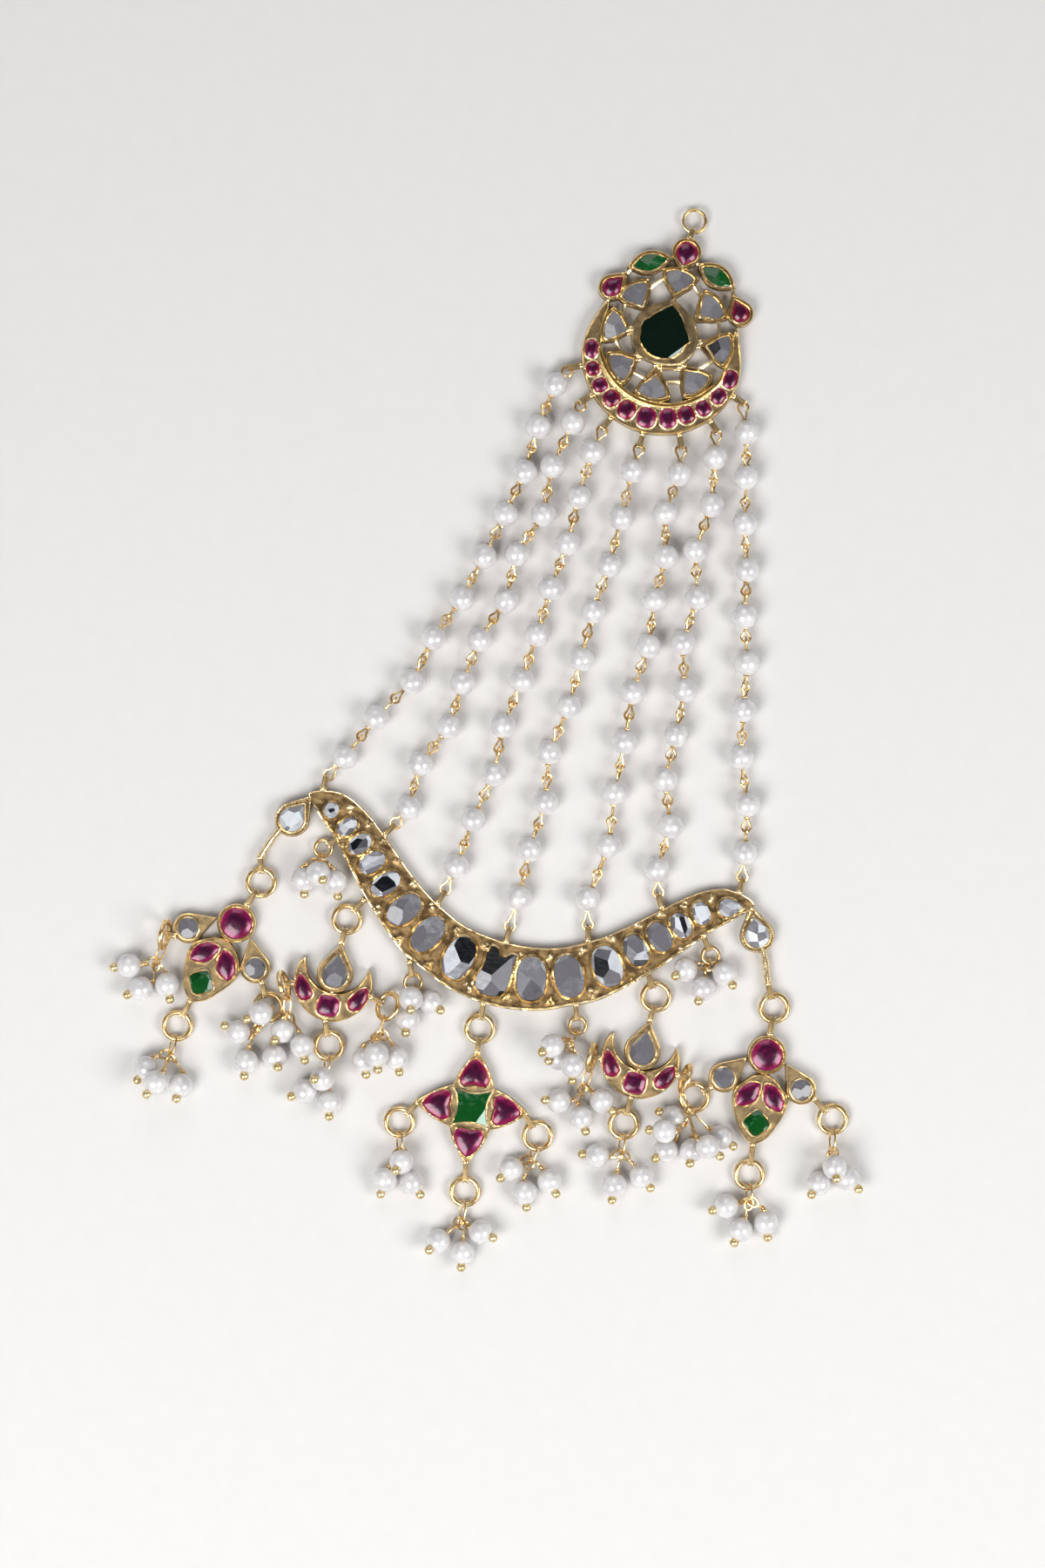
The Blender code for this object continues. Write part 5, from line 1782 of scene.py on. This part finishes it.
    def lumps(self) -> tuple[list[Vector], list[Points]]:
        """Granules and small raised triangles between the stones, along the lower edge."""
        dots, triangles = [], []
        for i, (stone, after) in enumerate(zip(self.stones, self.stones[1:])):
            x = (stone.x + after.x) / 2 - self.middle_x
            low, high = self.edges_at(x)
            place, breadth = self.on_midline(x), high - low
            foot = -0.36 * breadth
            if i % 3 != 1 and breadth > 7:
                corner = [(-0.85, foot - 0.4), (0.85, foot - 0.4), (0.05, foot + 1.15)]
                triangles.append(set_at(smooth_loop(corner, (0, 1, 2), 0.18), place))
            else:
                dots += [place @ Vector((0.45 * math.sin(2.1 * k + i), foot + 0.42 * k - 0.3, 0.3))
                         for k in range(4)]
            dots += [place @ Vector((0.35 * math.sin(4.0 * k + i), 0.36 * breadth - 0.3 * k, 0.32))
                     for k in range(3)]
        return dots, triangles

    def plate(self) -> Relief:
        """The bar's plate with its collets and granules."""
        dots, triangles = self.lumps()
        seats = [Seat(self.stone_loop(stone), 0.62, 0.45, 0.5, 0.34) for stone in self.stones]
        reach = range(39)
        middle = [self.midline(x) for x in reach]

        def granules(points: Points, depth: Points) -> tuple[Points, Points]:
            """Small uneven heaps, raised triangles, and a bright ridge along the lower edge.

            Args:
                points: places on the bar.
                depth: how far they lie inside its edge.

            Returns:
                What they rise, and their polish.
            """
            rise = np.zeros(len(points))
            for dot in dots:
                apart = np.hypot(points[:, 0] - dot.x, points[:, 1] - dot.y)
                rise = np.maximum(rise, dot.z * bump(apart, 0.0, 0.42))
            rise *= 1 + 0.5 * ripple(points, 0.25)
            for corner in triangles:
                rise = np.maximum(rise, 0.62 * ramp(-distance_to(points, corner), 0, 0.32))
            above = np.interp(np.abs(points[:, 0] - self.middle_x), reach, middle) - points[:, 1]
            edge = bump(depth, 0.26, 0.3) * ramp(above, 0, 0.8)
            edge *= 1 + 0.15 * ripple(points, 0.9, 4.0)
            return (rise + 0.34 * edge + 0.03 * ripple(points, 0.7, 2.0),
                    np.clip(3.0 * rise + 1.4 * edge, 0, 1))
        return Relief(self.loop(), seats, 1.6, ((0.1, 0.13, 0.12),), 0.24,
                      lines=(0.36, 0.5, 0.64), extra=granules)

    def end_tear(self, side: str, hand: int) -> Shell:
        """An end tear with a finely notched rim; its stone becomes a piece of its own.

        Args:
            side: left or right.
            hand: -1 or 1 for the same.

        Returns:
            The casting.
        """
        x, y, turn = self.tear
        place = shift(self.middle_x + hand * x, y) @ spin(hand * turn)
        centre = place.translation
        seat = set_at(pear(1.9, 3.0), place)

        def notches(points: Points, depth: Points) -> tuple[Points, Points]:
            """Ribs that fan out from the tear's middle."""
            bearing = np.arctan2(points[:, 1] - centre.y, points[:, 0] - centre.x)
            ribs = (0.5 + 0.5 * np.sin(bearing * 37)) * bump(depth, 0.2, 0.3)
            return 0.16 * ribs, ribs
        # Painted reflection: the last number of each facet is its tone.
        facets = ((170, 12, 0, 0.97), (-10, 10, 0, 0.93))
        if hand > 0:
            facets = ((140, 13, 0, 0.6), (-150, 15, 0.05, 0.95), (10, 12, 0.1, 0.56),
                      (60, 14, 0.2, 0.97))
        stone = Stone(inset(seat, 0.02, 30, np.array(centre.xy)), facets, 1.4, 2.6, 0, 0.3, 8,
                      (0.5, 0.9))
        make_piece(f"end_tear_stone_{side}", [stone.shell()], self.shop.finishes.foil,
                   (f"end_stone_{side}",))
        return Relief(set_at(pear(2.75, 5.0), place), [Seat(seat, 0.3, 0.35, 0.5, 0.2)], fill=0.2,
                      rims=((0.22, 0.24, 0.15),), extra=notches).shell()

    def arm_shell(self, hand: int) -> Shell:
        """A curved arm, ribbed across like a milled edge.

        Args:
            hand: -1 for the left one, 1 for the right.

        Returns:
            The arm.
        """
        start, bend, end = (Vector((self.middle_x + hand * x, y)) for x, y in self.arm)
        steps, sides = 96, 12
        points, polish = [], []
        for i in range(steps + 1):
            t = i / steps
            here = start * (1 - t) ** 2 + bend * 2 * t * (1 - t) + end * t ** 2
            run = ((bend - start) * (1 - t) + (end - bend) * t).normalized()
            rib = 0.5 + 0.5 * math.cos(math.tau * i / 21 + 0.9 * math.sin(0.23 * i))
            wide = 0.50 + 0.07 * rib + 0.05 * math.sin(0.17 * i + hand)
            for k in range(sides):
                angle = math.tau * k / sides
                out = wide * math.cos(angle)
                points.append((here.x - run.y * out, here.y + run.x * out,
                               0.95 + 0.85 * math.sin(angle)))
                polish.append(0.5 + 0.5 * rib)
        faces = skin(steps + 1, sides)
        faces += [tuple(range(sides - 1, -1, -1)), tuple(range(steps * sides, len(points)))]
        return Shell(np.array(points), faces, np.array(polish))

    def dress(self, lugs: list[Lug]) -> None:
        """Make the bar, its stones and its arms.

        Args:
            lugs: the lugs of the strands, the drops and the tassels that hang on it.
        """
        gold = [self.plate().shell()]
        for side, hand in (("left", -1), ("right", 1)):
            gold += [self.end_tear(side, hand), self.arm_shell(hand)]
        gold.append(self.shop.lugs("bar_lugs", lugs))
        make_piece("bar_gold", gold, self.shop.finishes.cast, ("crescent_bar",), 40)
        for number, stone in enumerate(self.stones, 1):
            middle = np.array(self.stone_place(stone).translation.xy)
            outline = inset(self.stone_loop(stone), 0.03, 40, middle)
            cut = Stone(outline, stone.facets, HIDDEN, 2.9, 14, 0.45 if number == 1 else 0.2, 9,
                        stone.edges)
            make_piece(f"bar_set_stone_{number:02d}", [cut.shell()], self.shop.finishes.foil,
                       (f"bar_stone_{number:02d}",))


# Drops

class DropDesign:
    """A drop's casting and stones, drawn in the drop's own frame."""
    top: ClassVar[float]                    # where the casting ends, up from the ring's centre

    def __init__(self, shop: Workshop) -> None:
        """Start with no shells.

        Args:
            shop: the finishes and repeats.
        """
        self.shop = shop
        self.gold: list[Shell] = []
        self.rubies: list[Shell] = []
        self.greens: list[Shell] = []
        self.greys: list[Shell] = []

    def draw(self) -> None:
        """Make the casting and stones."""
        raise NotImplementedError

    def setting(self, loop: Points, seats: list[Points], plate: float, collet: float = 0.2,
                rim: Triple = (0.13, 0.17, 0.22)) -> None:
        """Cast a plate with a rim of some depth, width and height, and collets for its stones."""
        collets = [Seat(seat, collet, 0.26, 0.45, 0.4) for seat in seats]
        self.gold.append(Relief(loop, collets, plate, (rim,), 0.24, 0.26).shell())

    def ruby(self, loop: Points, edge: float = 1.65, top: float = 2.1, slip: Pair = (0.0, 0.0),
             count: int = 40, centre: Points | None = None) -> None:
        """Fill a seat with a domed ruby whose middle may slip aside."""
        self.rubies.append(dome(inset(loop, 0.02, count, centre), edge, top, slip))

    def stone(self, kind: list[Shell], loop: Points, cut: Cut, turn: float, top: float,
              centre: Points | None = None) -> None:
        """Fill a seat with a cut stone, which joins the others of its kind."""
        outline = inset(loop, 0.02, 36, centre)
        kind.append(Stone(outline, cut.value, HIDDEN, top, turn, 0.3, 8).shell())

    def dress(self, name: str, drop: Drop, hangers: list[Lug]) -> None:
        """Put the drop in its place with its eye and lugs.

        Args:
            name: the drop's name.
            drop: where it hangs.
            hangers: lugs of its tassels, in its own frame.
        """
        place, finishes = drop.place(), self.shop.finishes
        eye_end = -(RING - RING_WIRE - PLAY - STRAP)
        lugs = [Lug(0.0, self.top, 180, eye_end - self.top), *hangers]
        self.gold.append(self.shop.lugs(name + "_lugs", lugs))
        emerald = ("flower_emerald",) if name == "flower" else ()
        for kind, shells, finish, slot, nodes, smooth in (
                ("gold", self.gold, finishes.cast, "gilt_brass", (name + "_drop",), 40),
                ("rubies", self.rubies, finishes.ruby, "foil_glass", (), 40),
                ("green_stones", self.greens, finishes.emerald, "green_glass", emerald, 0),
                ("grey_stones", self.greys, finishes.foil, "foil_glass", (), 0)):
            if shells:
                placed = [shell.moved(place) for shell in shells]
                make_piece(f"{name}_{kind}", placed, finish, nodes, smooth)


class EndDrop(DropDesign):
    """A round ruby over a shield, with a small round stone on a tail at each side."""
    top = -4.4

    def draw(self) -> None:
        """Make the casting and stones."""
        ruby = oval(2.5, 2.5) + (0.0, -7.5)
        self.setting(oval(3.1, 3.1) + (0.0, -7.5), [ruby], 1.75, rim=(0.15, 0.18, 0.3))
        self.ruby(ruby, 1.75, 2.3, (0.25, 0.3))
        for hand in (-1, 1):
            white = oval(1.6, 1.6) + (hand * 6.2, -12.1)
            tail = shift(hand * 6.2, -12.1) @ spin(hand * 40)
            self.setting(set_at(pear(2.42, 5.0), tail), [white], 1.6)
            self.stone(self.greys, white, Cut.THREE, 30 * hand, 2.2)
        half = [(1.6, -11.0), (3.1, -12.2), (4.2, -13.6), (4.4, -15.1), (4.0, -16.8), (3.2, -18.6),
                (1.8, -20.8)]
        shield = smooth_loop([(0.0, -10.5), *half, (0.0, -22.0), *mirrored(half)], (8,))
        leaf = [(0.4, -12.1), (1.9, -12.15), (3.15, -13.1), (3.8, -14.6), (3.5, -16.1),
                (2.1, -15.9), (0.95, -15.2), (0.38, -14.0)]
        leaves = [smooth_loop([(hand * x, y) for x, y in leaf], (0, 4), 0.2) for hand in (-1, 1)]
        square = smooth_loop([(1.68, 0.0), (1.45, 1.45), (0.0, 1.68), (-1.45, 1.45), (-1.68, 0.0),
                              (-1.45, -1.45), (0.0, -1.68), (1.45, -1.45)], (), 0.18)
        square = set_at(square, shift(0.0, -18.4) @ spin(45))
        self.setting(shield, [*leaves, square], 1.6, 0.26)
        for loop in leaves:
            self.ruby(loop, top=2.05)
        self.stone(self.greens, square, Cut.STEP, 45, 2.45)


class MoonDrop(DropDesign):
    """A pear stone standing in a crescent."""
    top = -3.9

    def draw(self) -> None:
        """Make the casting and stones."""
        grey = pear(1.98, 3.55) + (0.0, -9.0)
        self.setting(pear(2.9, 5.0) + (0.0, -8.9), [grey], 1.75, rim=(0.13, 0.16, 0.22))
        self.stone(self.greys, grey, Cut.THREE, 75, 2.4)
        outer = arc(6.25, -10.2, range(158, 383, 9))
        inner = arc(5.0, -6.9, range(-14, -170, -9))
        crescent = smooth_loop([(-5.0, -7.0), *outer, (5.0, -7.0), *inner], (0, len(outer) + 1))
        side = smooth_loop([(0.2, 2.3), (1.1, 1.4), (1.45, 0.0), (1.0, -1.6), (0.0, -2.05),
                            (-1.05, -1.3), (-0.95, 0.2), (-0.5, 1.5)], (), 0.18)
        rubies = [oval(1.75, 1.7, 3.0) + (0.0, -14.0)]
        for hand in (-1, 1):
            place = shift(hand * 4.3, -12.0) @ spin(-24 * hand)
            rubies.append(anticlockwise(set_at(side * (hand, 1), place)))
        self.setting(crescent, rubies, 1.6)
        for loop in rubies:
            self.ruby(loop)
        self.gold.append(bar_between((0.0, -11.2), (0.0, -12.4), 0.55, 0.95))


class FlowerDrop(DropDesign):
    """Four petals round a square stone with hollow sides."""
    top = -3.8

    def draw(self) -> None:
        """Make the casting and stones."""
        quarter = [(3.3, 3.3), (2.75, 4.9), (1.65, 6.9), (0.0, 8.7), (-1.65, 6.9), (-2.75, 4.9)]
        heart = [(0.0, 3.62), (0.95, 3.4), (1.95, 3.5), (2.38, 4.4), (2.0, 5.7), (1.1, 7.1),
                 (0.0, 7.8), (-1.1, 7.1), (-2.0, 5.7), (-2.38, 4.4), (-1.95, 3.5), (-0.95, 3.4)]
        corner = [(2.95, 2.95), (1.2, 2.3), (-1.2, 2.3)]
        turns = [shift(0.0, -12.5) @ spin(90 * turn) for turn in range(4)]
        outline = np.vstack([set_at(np.array(quarter), place) for place in turns])
        square = np.vstack([set_at(np.array(corner), place) for place in turns])
        stone = smooth_loop(square, (0, 3, 6, 9), 0.18)
        hearts = [set_at(smooth_loop(heart, (0,), 0.18), place) for place in turns]
        self.setting(smooth_loop(outline, (0, 6, 12, 18)), [stone, *hearts], 1.65, 0.24)
        for place, loop in zip(turns, hearts):
            middle = np.array((place @ Vector((0.0, 5.5, 0.0))).xy)
            self.ruby(loop, count=44, centre=middle)
        self.stone(self.greens, stone, Cut.STEP, 0, 2.6, np.array((0.0, -12.5)))


class Design(Enum):
    """The three designs of drop."""
    END = EndDrop
    MOON = MoonDrop
    FLOWER = FlowerDrop


@dataclass(frozen=True)
class Drop:
    """A drop: the bar lug that carries its jump ring, its design and its turn about the ring."""
    bar_lug: Lug
    design: Design
    turn: float

    def ring(self) -> Matrix:
        """Where its jump ring lies."""
        return self.bar_lug.ring_place(0, RING, RING_WIRE)

    def place(self) -> Matrix:
        """The drop's frame: at its jump ring's centre, turned."""
        centre = self.ring().translation
        return shift(centre.x, centre.y) @ spin(self.turn)


DROPS = {
    "left_end": Drop(Lug(-42.6, -95.5, 14.6, 2.9), Design.END, -16.8),
    "left_moon": Drop(Lug(-25.0, -98.2, -27.0, 2.9), Design.MOON, 1.7),
    "flower": Drop(Lug(-2.7, -109.5, 6.0, 2.9), Design.FLOWER, 8.0),
    "right_moon": Drop(Lug(21.3, -98.5, 33.0, 2.9), Design.MOON, 0.0),
    "right_end": Drop(Lug(40.2, -95.5, 28.5, 2.9), Design.END, 5.1),
}


# Tassels

@dataclass(frozen=True)
class Pearl:
    """A tassel pearl: its place, its tip's heading and lean upwards, and what it rests on."""
    x: float
    y: float
    heading: float
    lean: float
    rest: float = 0.0

    def aim(self) -> Vector:
        """Where its tip looks."""
        lift = math.radians(self.lean)
        return heading_vector(self.heading) * math.cos(lift) + UP * math.sin(lift)


@dataclass
class Tassel:
    """Three pearls on head pins, gathered by a wire link on a ring."""
    name: str
    hanger: Lug
    tilt: float
    pearls: tuple[Pearl, ...]

    @property
    def holder(self) -> str:
        """The name of the drop that it hangs on, or bar."""
        return self.name.split("_tassel")[0]

    def ring(self) -> tuple[Matrix, float, float]:
        """The ring's place, radius and wire."""
        drop = DROPS.get(self.holder)
        if drop is None:
            return self.hanger.ring_place(0, SMALL_RING, SMALL_WIRE), SMALL_RING, SMALL_WIRE
        root = drop.place() @ Vector((self.hanger.x, self.hanger.y, 0.0))
        lug = Lug(root.x, root.y, self.hanger.heading + drop.turn, self.hanger.reach)
        return lug.ring_place(self.tilt, RING, RING_WIRE), RING, RING_WIRE

    def settle(self) -> list[Vector]:
        """The pearls' centres: on the floor, or on the earlier ones that they overlap."""
        reach = 2 * TASSEL_PEARL + PEARL_GAP
        placed: list[Vector] = []
        for pearl in self.pearls:
            height = pearl.rest + TASSEL_PEARL
            for other in placed:
                apart = math.hypot(pearl.x - other.x, pearl.y - other.y)
                if apart < reach:
                    height = max(height, other.z + math.sqrt(reach ** 2 - apart ** 2))
            placed.append(Vector((pearl.x, pearl.y, height)))
        return placed

    def dress(self, shop: Workshop, number: int) -> None:
        """Make the pearls, their tips, the ring and the wires.

        Args:
            shop: the finishes and repeats.
            number: the tassel's own, which turns its pearls and wires.
        """
        middles, aims = self.settle(), [pearl.aim() for pearl in self.pearls]
        turns = [1.3 * i + number for i in range(len(middles))]
        pearls = shop.beads.run(self.name + "_pearls", cloud(middles, None, turns),
                                Radius=TASSEL_PEARL * MM, Finish=shop.finishes.pearl)
        add_piece(self.name + "_pearls", pearls, (self.name,))
        ends = [middle + aim * (TASSEL_PEARL + 0.42) for middle, aim in zip(middles, aims)]
        for end in ends:
            end.z = min(max(end.z, TIP + 0.01), 6.4)
        tips = shop.beads.run(self.name + "_tips", cloud(ends), Radius=TIP * MM, Segments=18,
                              Rings=12, Finish=shop.finishes.tips)
        add_piece(self.name + "_tips", tips)
        shop.add_wires(self.name + "_wires", self.wires(middles, aims, number))

    def wires(self, middles: list[Vector], aims: list[Vector], number: int) -> list[Wire]:
        """The ring, the link on it, the coil below and the head pins' loops.

        Args:
            middles: the pearls' centres.
            aims: where their tips look.
            number: turns the seam of the ring and the pins.

        Returns:
            All the wires.
        """
        place, radius, wire = self.ring()
        poles = [middle - aim * TASSEL_PEARL for middle, aim in zip(middles, aims)]
        centre = sum(poles, Vector()) / len(poles)
        local = place.inverted() @ centre
        local.z = 0.0
        local.normalize()
        hold = place @ (local * radius)
        out = centre - hold
        reach = out.length
        out.normalize()
        broad = place.col[2].xyz * 0.75 + place.to_3x3() @ UP.cross(local) * 0.66
        broad = (broad - out * broad.dot(out)).normalized()
        gap = max(0.9, min(2.6, 0.5 * reach))
        half = 0.5 * gap + 0.45
        knot = hold + out * gap
        knot.z = max(knot.z, 0.85)
        side, top = frame_of(out)
        paths = [ring_wire(place, radius, wire, 97 * number),
                 loop_wire(hold + out * (half - 0.6), out * half, broad * 0.62, 0.17, 20, 200, 36),
                 Wire(around(knot - out * 0.2, side * 0.4, top * 0.4, 0, 810, 32, out * 0.8, 0.2),
                      0.15)]
        for i, (pole, aim) in enumerate(zip(poles, aims)):
            paths += self.pin(pole, aim, knot, 40 * i + 23 * number)
        return paths

    @staticmethod
    def pin(pole: Vector, aim: Vector, knot: Vector, lean: float) -> list[Wire]:
        """A head pin above its pearl: a stem, a loop round the knot, and a burr at the pearl.

        Args:
            pole: the top of the pearl.
            aim: where the pearl's tip looks.
            knot: what the loop reaches.
            lean: turn of the loop about its length, degrees.

        Returns:
            The pin, its burr and, on a long one, the wraps of its neck.
        """
        neck = pole - aim * 0.25
        away = knot - neck
        length = away.length
        away.normalize()
        side, top = frame_of(away, lean)
        half = min(1.0, max(0.55, 0.5 * length + 0.1))
        centre = neck + away * max(length + 0.25 - half, 0.8 * half)
        across, along = frame_of(aim, lean)
        burr = loop_wire(pole - aim * 0.02, across * 0.4, along * 0.4, 0.12, 40, lean, 14)
        burr.points.append(burr.points[-1] + (burr.points[-1] - pole).normalized() * 0.35)
        made = [Wire([pole + aim * 0.3, pole, neck,
                      *around(centre, away * half, side * 0.72 * half, 195, 510, 22, top * 0.18)],
                     PIN_WIRE), burr]
        if length > 2 * half + 0.2:
            made.append(Wire(around(neck + away * 0.1, side * 0.26, top * 0.26, 0, 900, 24,
                                    away * 0.55), 0.12))
        return made


TASSELS = (
    Tassel("left_end_tassel_outer", Lug(-7.3, -14.2, -69, 2.0), 78, (
        Pearl(-58.6, -117.4, -70, 0), Pearl(-55.9, -120.4, -51, 10), Pearl(-52.0, -118.8, 25, 10))),
    Tassel("left_end_tassel_tip", Lug(0.0, -21.7, 3, 3.3), 0, (
        Pearl(-52.0, -132.4, -22, 10), Pearl(-46.1, -133.8, -2, 30),
        Pearl(-49.9, -134.0, -21, 20))),
    Tassel("left_end_tassel_inner", Lug(8.1, -13.4, 45, 2.9), 0, (
        Pearl(-39.3, -123.4, -103, 10), Pearl(-36.9, -127.6, 7, 20),
        Pearl(-36.5, -119.5, -52, 10, 1.35))),
    Tassel("left_moon_tassel_outer", Lug(-6.1, -11.6, -64, 1.9), 78, (
        Pearl(-32.5, -121.5, -25, 40), Pearl(-32.8, -125.8, 38, 45), Pearl(-28.9, -123.0, 25, 20))),
    Tassel("left_moon_tassel_tip", Lug(0.0, -16.2, 20, 2.9), 0, (
        Pearl(-26.7, -129.9, -56, 10), Pearl(-22.6, -130.6, 14, 20),
        Pearl(-24.5, -127.2, -80, 60))),
    Tassel("left_moon_tassel_inner", Lug(6.1, -11.2, 76, 2.6), 45, (
        Pearl(-18.9, -122.8, 22, 5), Pearl(-14.0, -121.3, 27, 20), Pearl(-17.1, -121.3, 19, 5))),
    Tassel("flower_tassel_left", Lug(-8.5, -12.5, -37, 3.1), 0, (
        Pearl(-11.1, -140.4, -2, 0), Pearl(-6.9, -139.8, 50, 10), Pearl(-9.2, -136.9, -23, 50))),
    Tassel("flower_tassel_tip", Lug(0.0, -21.0, 4, 3.6), 0, (
        Pearl(-0.5, -147.8, -35, 35), Pearl(3.6, -148.6, 9, 10), Pearl(5.6, -144.8, 82, 25))),
    Tassel("flower_tassel_right", Lug(8.4, -12.5, 36, 2.9), 0, (
        Pearl(7.9, -133.9, -36, 20), Pearl(10.9, -137.0, 20, 0), Pearl(14.2, -134.3, 42, 20))),
    Tassel("right_moon_tassel_inner", Lug(-6.1, -11.6, -88, 1.9), 78, (
        Pearl(12.6, -121.7, -83, 25), Pearl(16.7, -123.4, 32, 25), Pearl(19.2, -120.0, 61, 10))),
    Tassel("right_moon_tassel_tip", Lug(0.0, -16.2, -1, 3.3), 0, (
        Pearl(20.6, -128.6, -82, 0), Pearl(24.4, -132.5, 4, 10), Pearl(28.2, -130.0, 50, 10))),
    Tassel("right_moon_tassel_outer", Lug(6.1, -11.2, 85, 1.9), 80, (
        Pearl(34.9, -124.2, 5, 35), Pearl(38.9, -121.1, 69, 10), Pearl(37.1, -122.8, 66, 0))),
    Tassel("right_end_tassel_inner", Lug(-7.8, -13.8, -50, 2.0), 0, (
        Pearl(30.9, -125.1, -39, 30), Pearl(30.8, -119.9, -100, 0), Pearl(29.8, -122.0, -79, 0))),
    Tassel("right_end_tassel_tip", Lug(0.0, -21.7, 2, 3.7), 0, (
        Pearl(42.4, -131.4, -60, 10), Pearl(45.4, -134.5, -13, 20), Pearl(49.1, -132.4, 20, 0))),
    Tassel("right_end_tassel_outer", Lug(8.3, -13.1, 51, 3.3), 0, (
        Pearl(55.7, -124.4, -23, 30), Pearl(60.0, -122.6, 61, 20), Pearl(57.3, -121.1, 19, 45))),
    Tassel("bar_tassel_1", Lug(-31.0, -89.4, -42, 2.8), 0, (
        Pearl(-35.1, -97.4, 17, 0), Pearl(-30.1, -96.5, 23, 0), Pearl(-32.9, -95.9, 54, 60))),
    Tassel("bar_tassel_2", Lug(-15.7, -105.9, 23, 2.8), 0, (
        Pearl(-10.8, -111.4, 65, 35), Pearl(-13.7, -115.0, 6, 35), Pearl(-14.0, -111.5, 14, 45))),
    Tassel("bar_tassel_3", Lug(11.5, -106.1, 19, 2.9), 0, (
        Pearl(11.0, -115.1, -66, 45), Pearl(9.4, -113.3, -46, 40), Pearl(13.3, -115.5, 12, 0))),
    Tassel("bar_tassel_4", Lug(28.5, -90.7, 34, 2.8), 0, (
        Pearl(27.0, -96.7, -46, 40), Pearl(30.4, -98.9, -6, 30), Pearl(33.2, -95.8, 49, 25))),
)


# Studio

@dataclass
class Studio:
    """The pale floor, the soft lights and the camera."""
    tilt: float = 14.0          # the ornament lies turned clockwise in the picture
    middle: Pair = (-5.1, -74.4)
    tall: float = 248.3
    lens: float = 100.0
    sensor: float = 36.0

    def floor(self) -> None:
        """A plain pale floor."""
        half, low = 3000, -0.03
        mesh = bpy.data.meshes.new("floor")
        mesh.from_pydata([Vector((x * half, y * half, low)) * MM for x, y in
                          ((-1, -1), (1, -1), (1, 1), (-1, 1))], [], [(0, 1, 2, 3)])
        surface = Surface("pale_floor")
        color = surface.blend(surface.noise(3.0, 2.0), (0.68, 0.665, 0.65), (0.71, 0.695, 0.68))
        mesh.materials.append(surface.finish(Base_Color=color, Roughness=0.85))
        floor = bpy.data.objects.new("floor", mesh)
        bpy.context.scene.collection.objects.link(floor)

    def light(self, name: str, way: Triple, far: float, size: float,
              power: float) -> None:
        """A soft square light that looks at the ornament.

        Args:
            name: the light's name.
            way: where it stands, seen from the ornament.
            far: its distance, m.
            size: its side, m.
            power: its power, W.
        """
        out = (spin(self.tilt) @ Vector(way)).normalized()
        data = bpy.data.lights.new(name, "AREA")
        data.size, data.energy = size, power
        lamp = bpy.data.objects.new(name, data)
        lamp.location = Vector((*self.middle, 0.0)) * MM + out * far
        lamp.rotation_euler = out.to_track_quat("Z", "Y").to_euler()
        bpy.context.scene.collection.objects.link(lamp)

    @staticmethod
    def room() -> bpy.types.World:
        """Pale walls under a dim ceiling."""
        world = bpy.data.worlds.new("soft_room")
        world.use_nodes = True
        graph = Graph(world.node_tree)
        where = graph.node("ShaderNodeTexCoord").outputs["Generated"]
        height = graph.node("ShaderNodeSeparateXYZ", {}, {"Vector": where}).outputs["Z"]
        wall = graph.node("ShaderNodeMapRange", {}, {
            "Value": height, "From Min": 0.15, "From Max": 0.6, "To Min": 0.55, "To Max": 0.09})
        sky = world.node_tree.nodes["Background"].inputs
        graph.feed(sky["Strength"], wall.outputs["Result"])
        graph.feed(sky["Color"], (0.80, 0.82, 0.86, 1.0))
        return world

    def camera(self) -> None:
        """A long lens straight above, turned as the picture is."""
        data = bpy.data.cameras.new("camera")
        data.lens, data.sensor_width = self.lens, self.sensor
        data.sensor_fit = "AUTO"
        data.clip_start, data.clip_end = 0.01, 20.0
        camera = bpy.data.objects.new("camera", data)
        far = self.tall * self.lens / self.sensor
        camera.location = Vector((*self.middle, far + 1.5)) * MM
        camera.rotation_euler = (0.0, 0.0, math.radians(self.tilt))
        bpy.context.scene.collection.objects.link(camera)
        bpy.context.scene.camera = camera

    def build(self) -> None:
        """Set the stage."""
        self.floor()
        self.camera()
        bpy.context.scene.world = self.room()
        bpy.context.scene.view_settings.view_transform = "Standard"
        self.light("key_left", (-0.40, -0.48, 0.78), 0.70, 0.40, 4.1)
        self.light("key_right", (0.64, -0.34, 0.69), 0.70, 0.34, 3.0)
        self.light("top_fill", (-0.1, 0.75, 0.65), 0.8, 0.5, 1.3)


def main() -> None:
    """Build the ornament and its stage, and note the sizes."""
    logging.basicConfig(level=logging.INFO, format="%(name)s: %(message)s")
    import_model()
    shop = Workshop()
    Medallion(shop).dress()
    strands = [Strand(shop, number, *row) for number, row in enumerate(STRANDS, 1)]
    for strand in strands:
        strand.dress()
    lugs = [strand.bar_lug for strand in strands]
    lugs += [drop.bar_lug for drop in DROPS.values()]
    lugs += [tassel.hanger for tassel in TASSELS if tassel.holder not in DROPS]
    Bar(shop).dress(lugs)
    for number, (name, drop) in enumerate(DROPS.items()):
        design = drop.design.value(shop)
        design.draw()
        design.dress(name, drop, [tassel.hanger for tassel in TASSELS if tassel.holder == name])
        shop.add_wires(name + "_jump_ring",
                       [ring_wire(drop.ring(), RING, RING_WIRE, 75 * number + 20)],
                       (name + "_ring",))
    for number, tassel in enumerate(TASSELS):
        tassel.dress(shop, number)
    Studio().build()


if __name__ == "__main__":
    main()
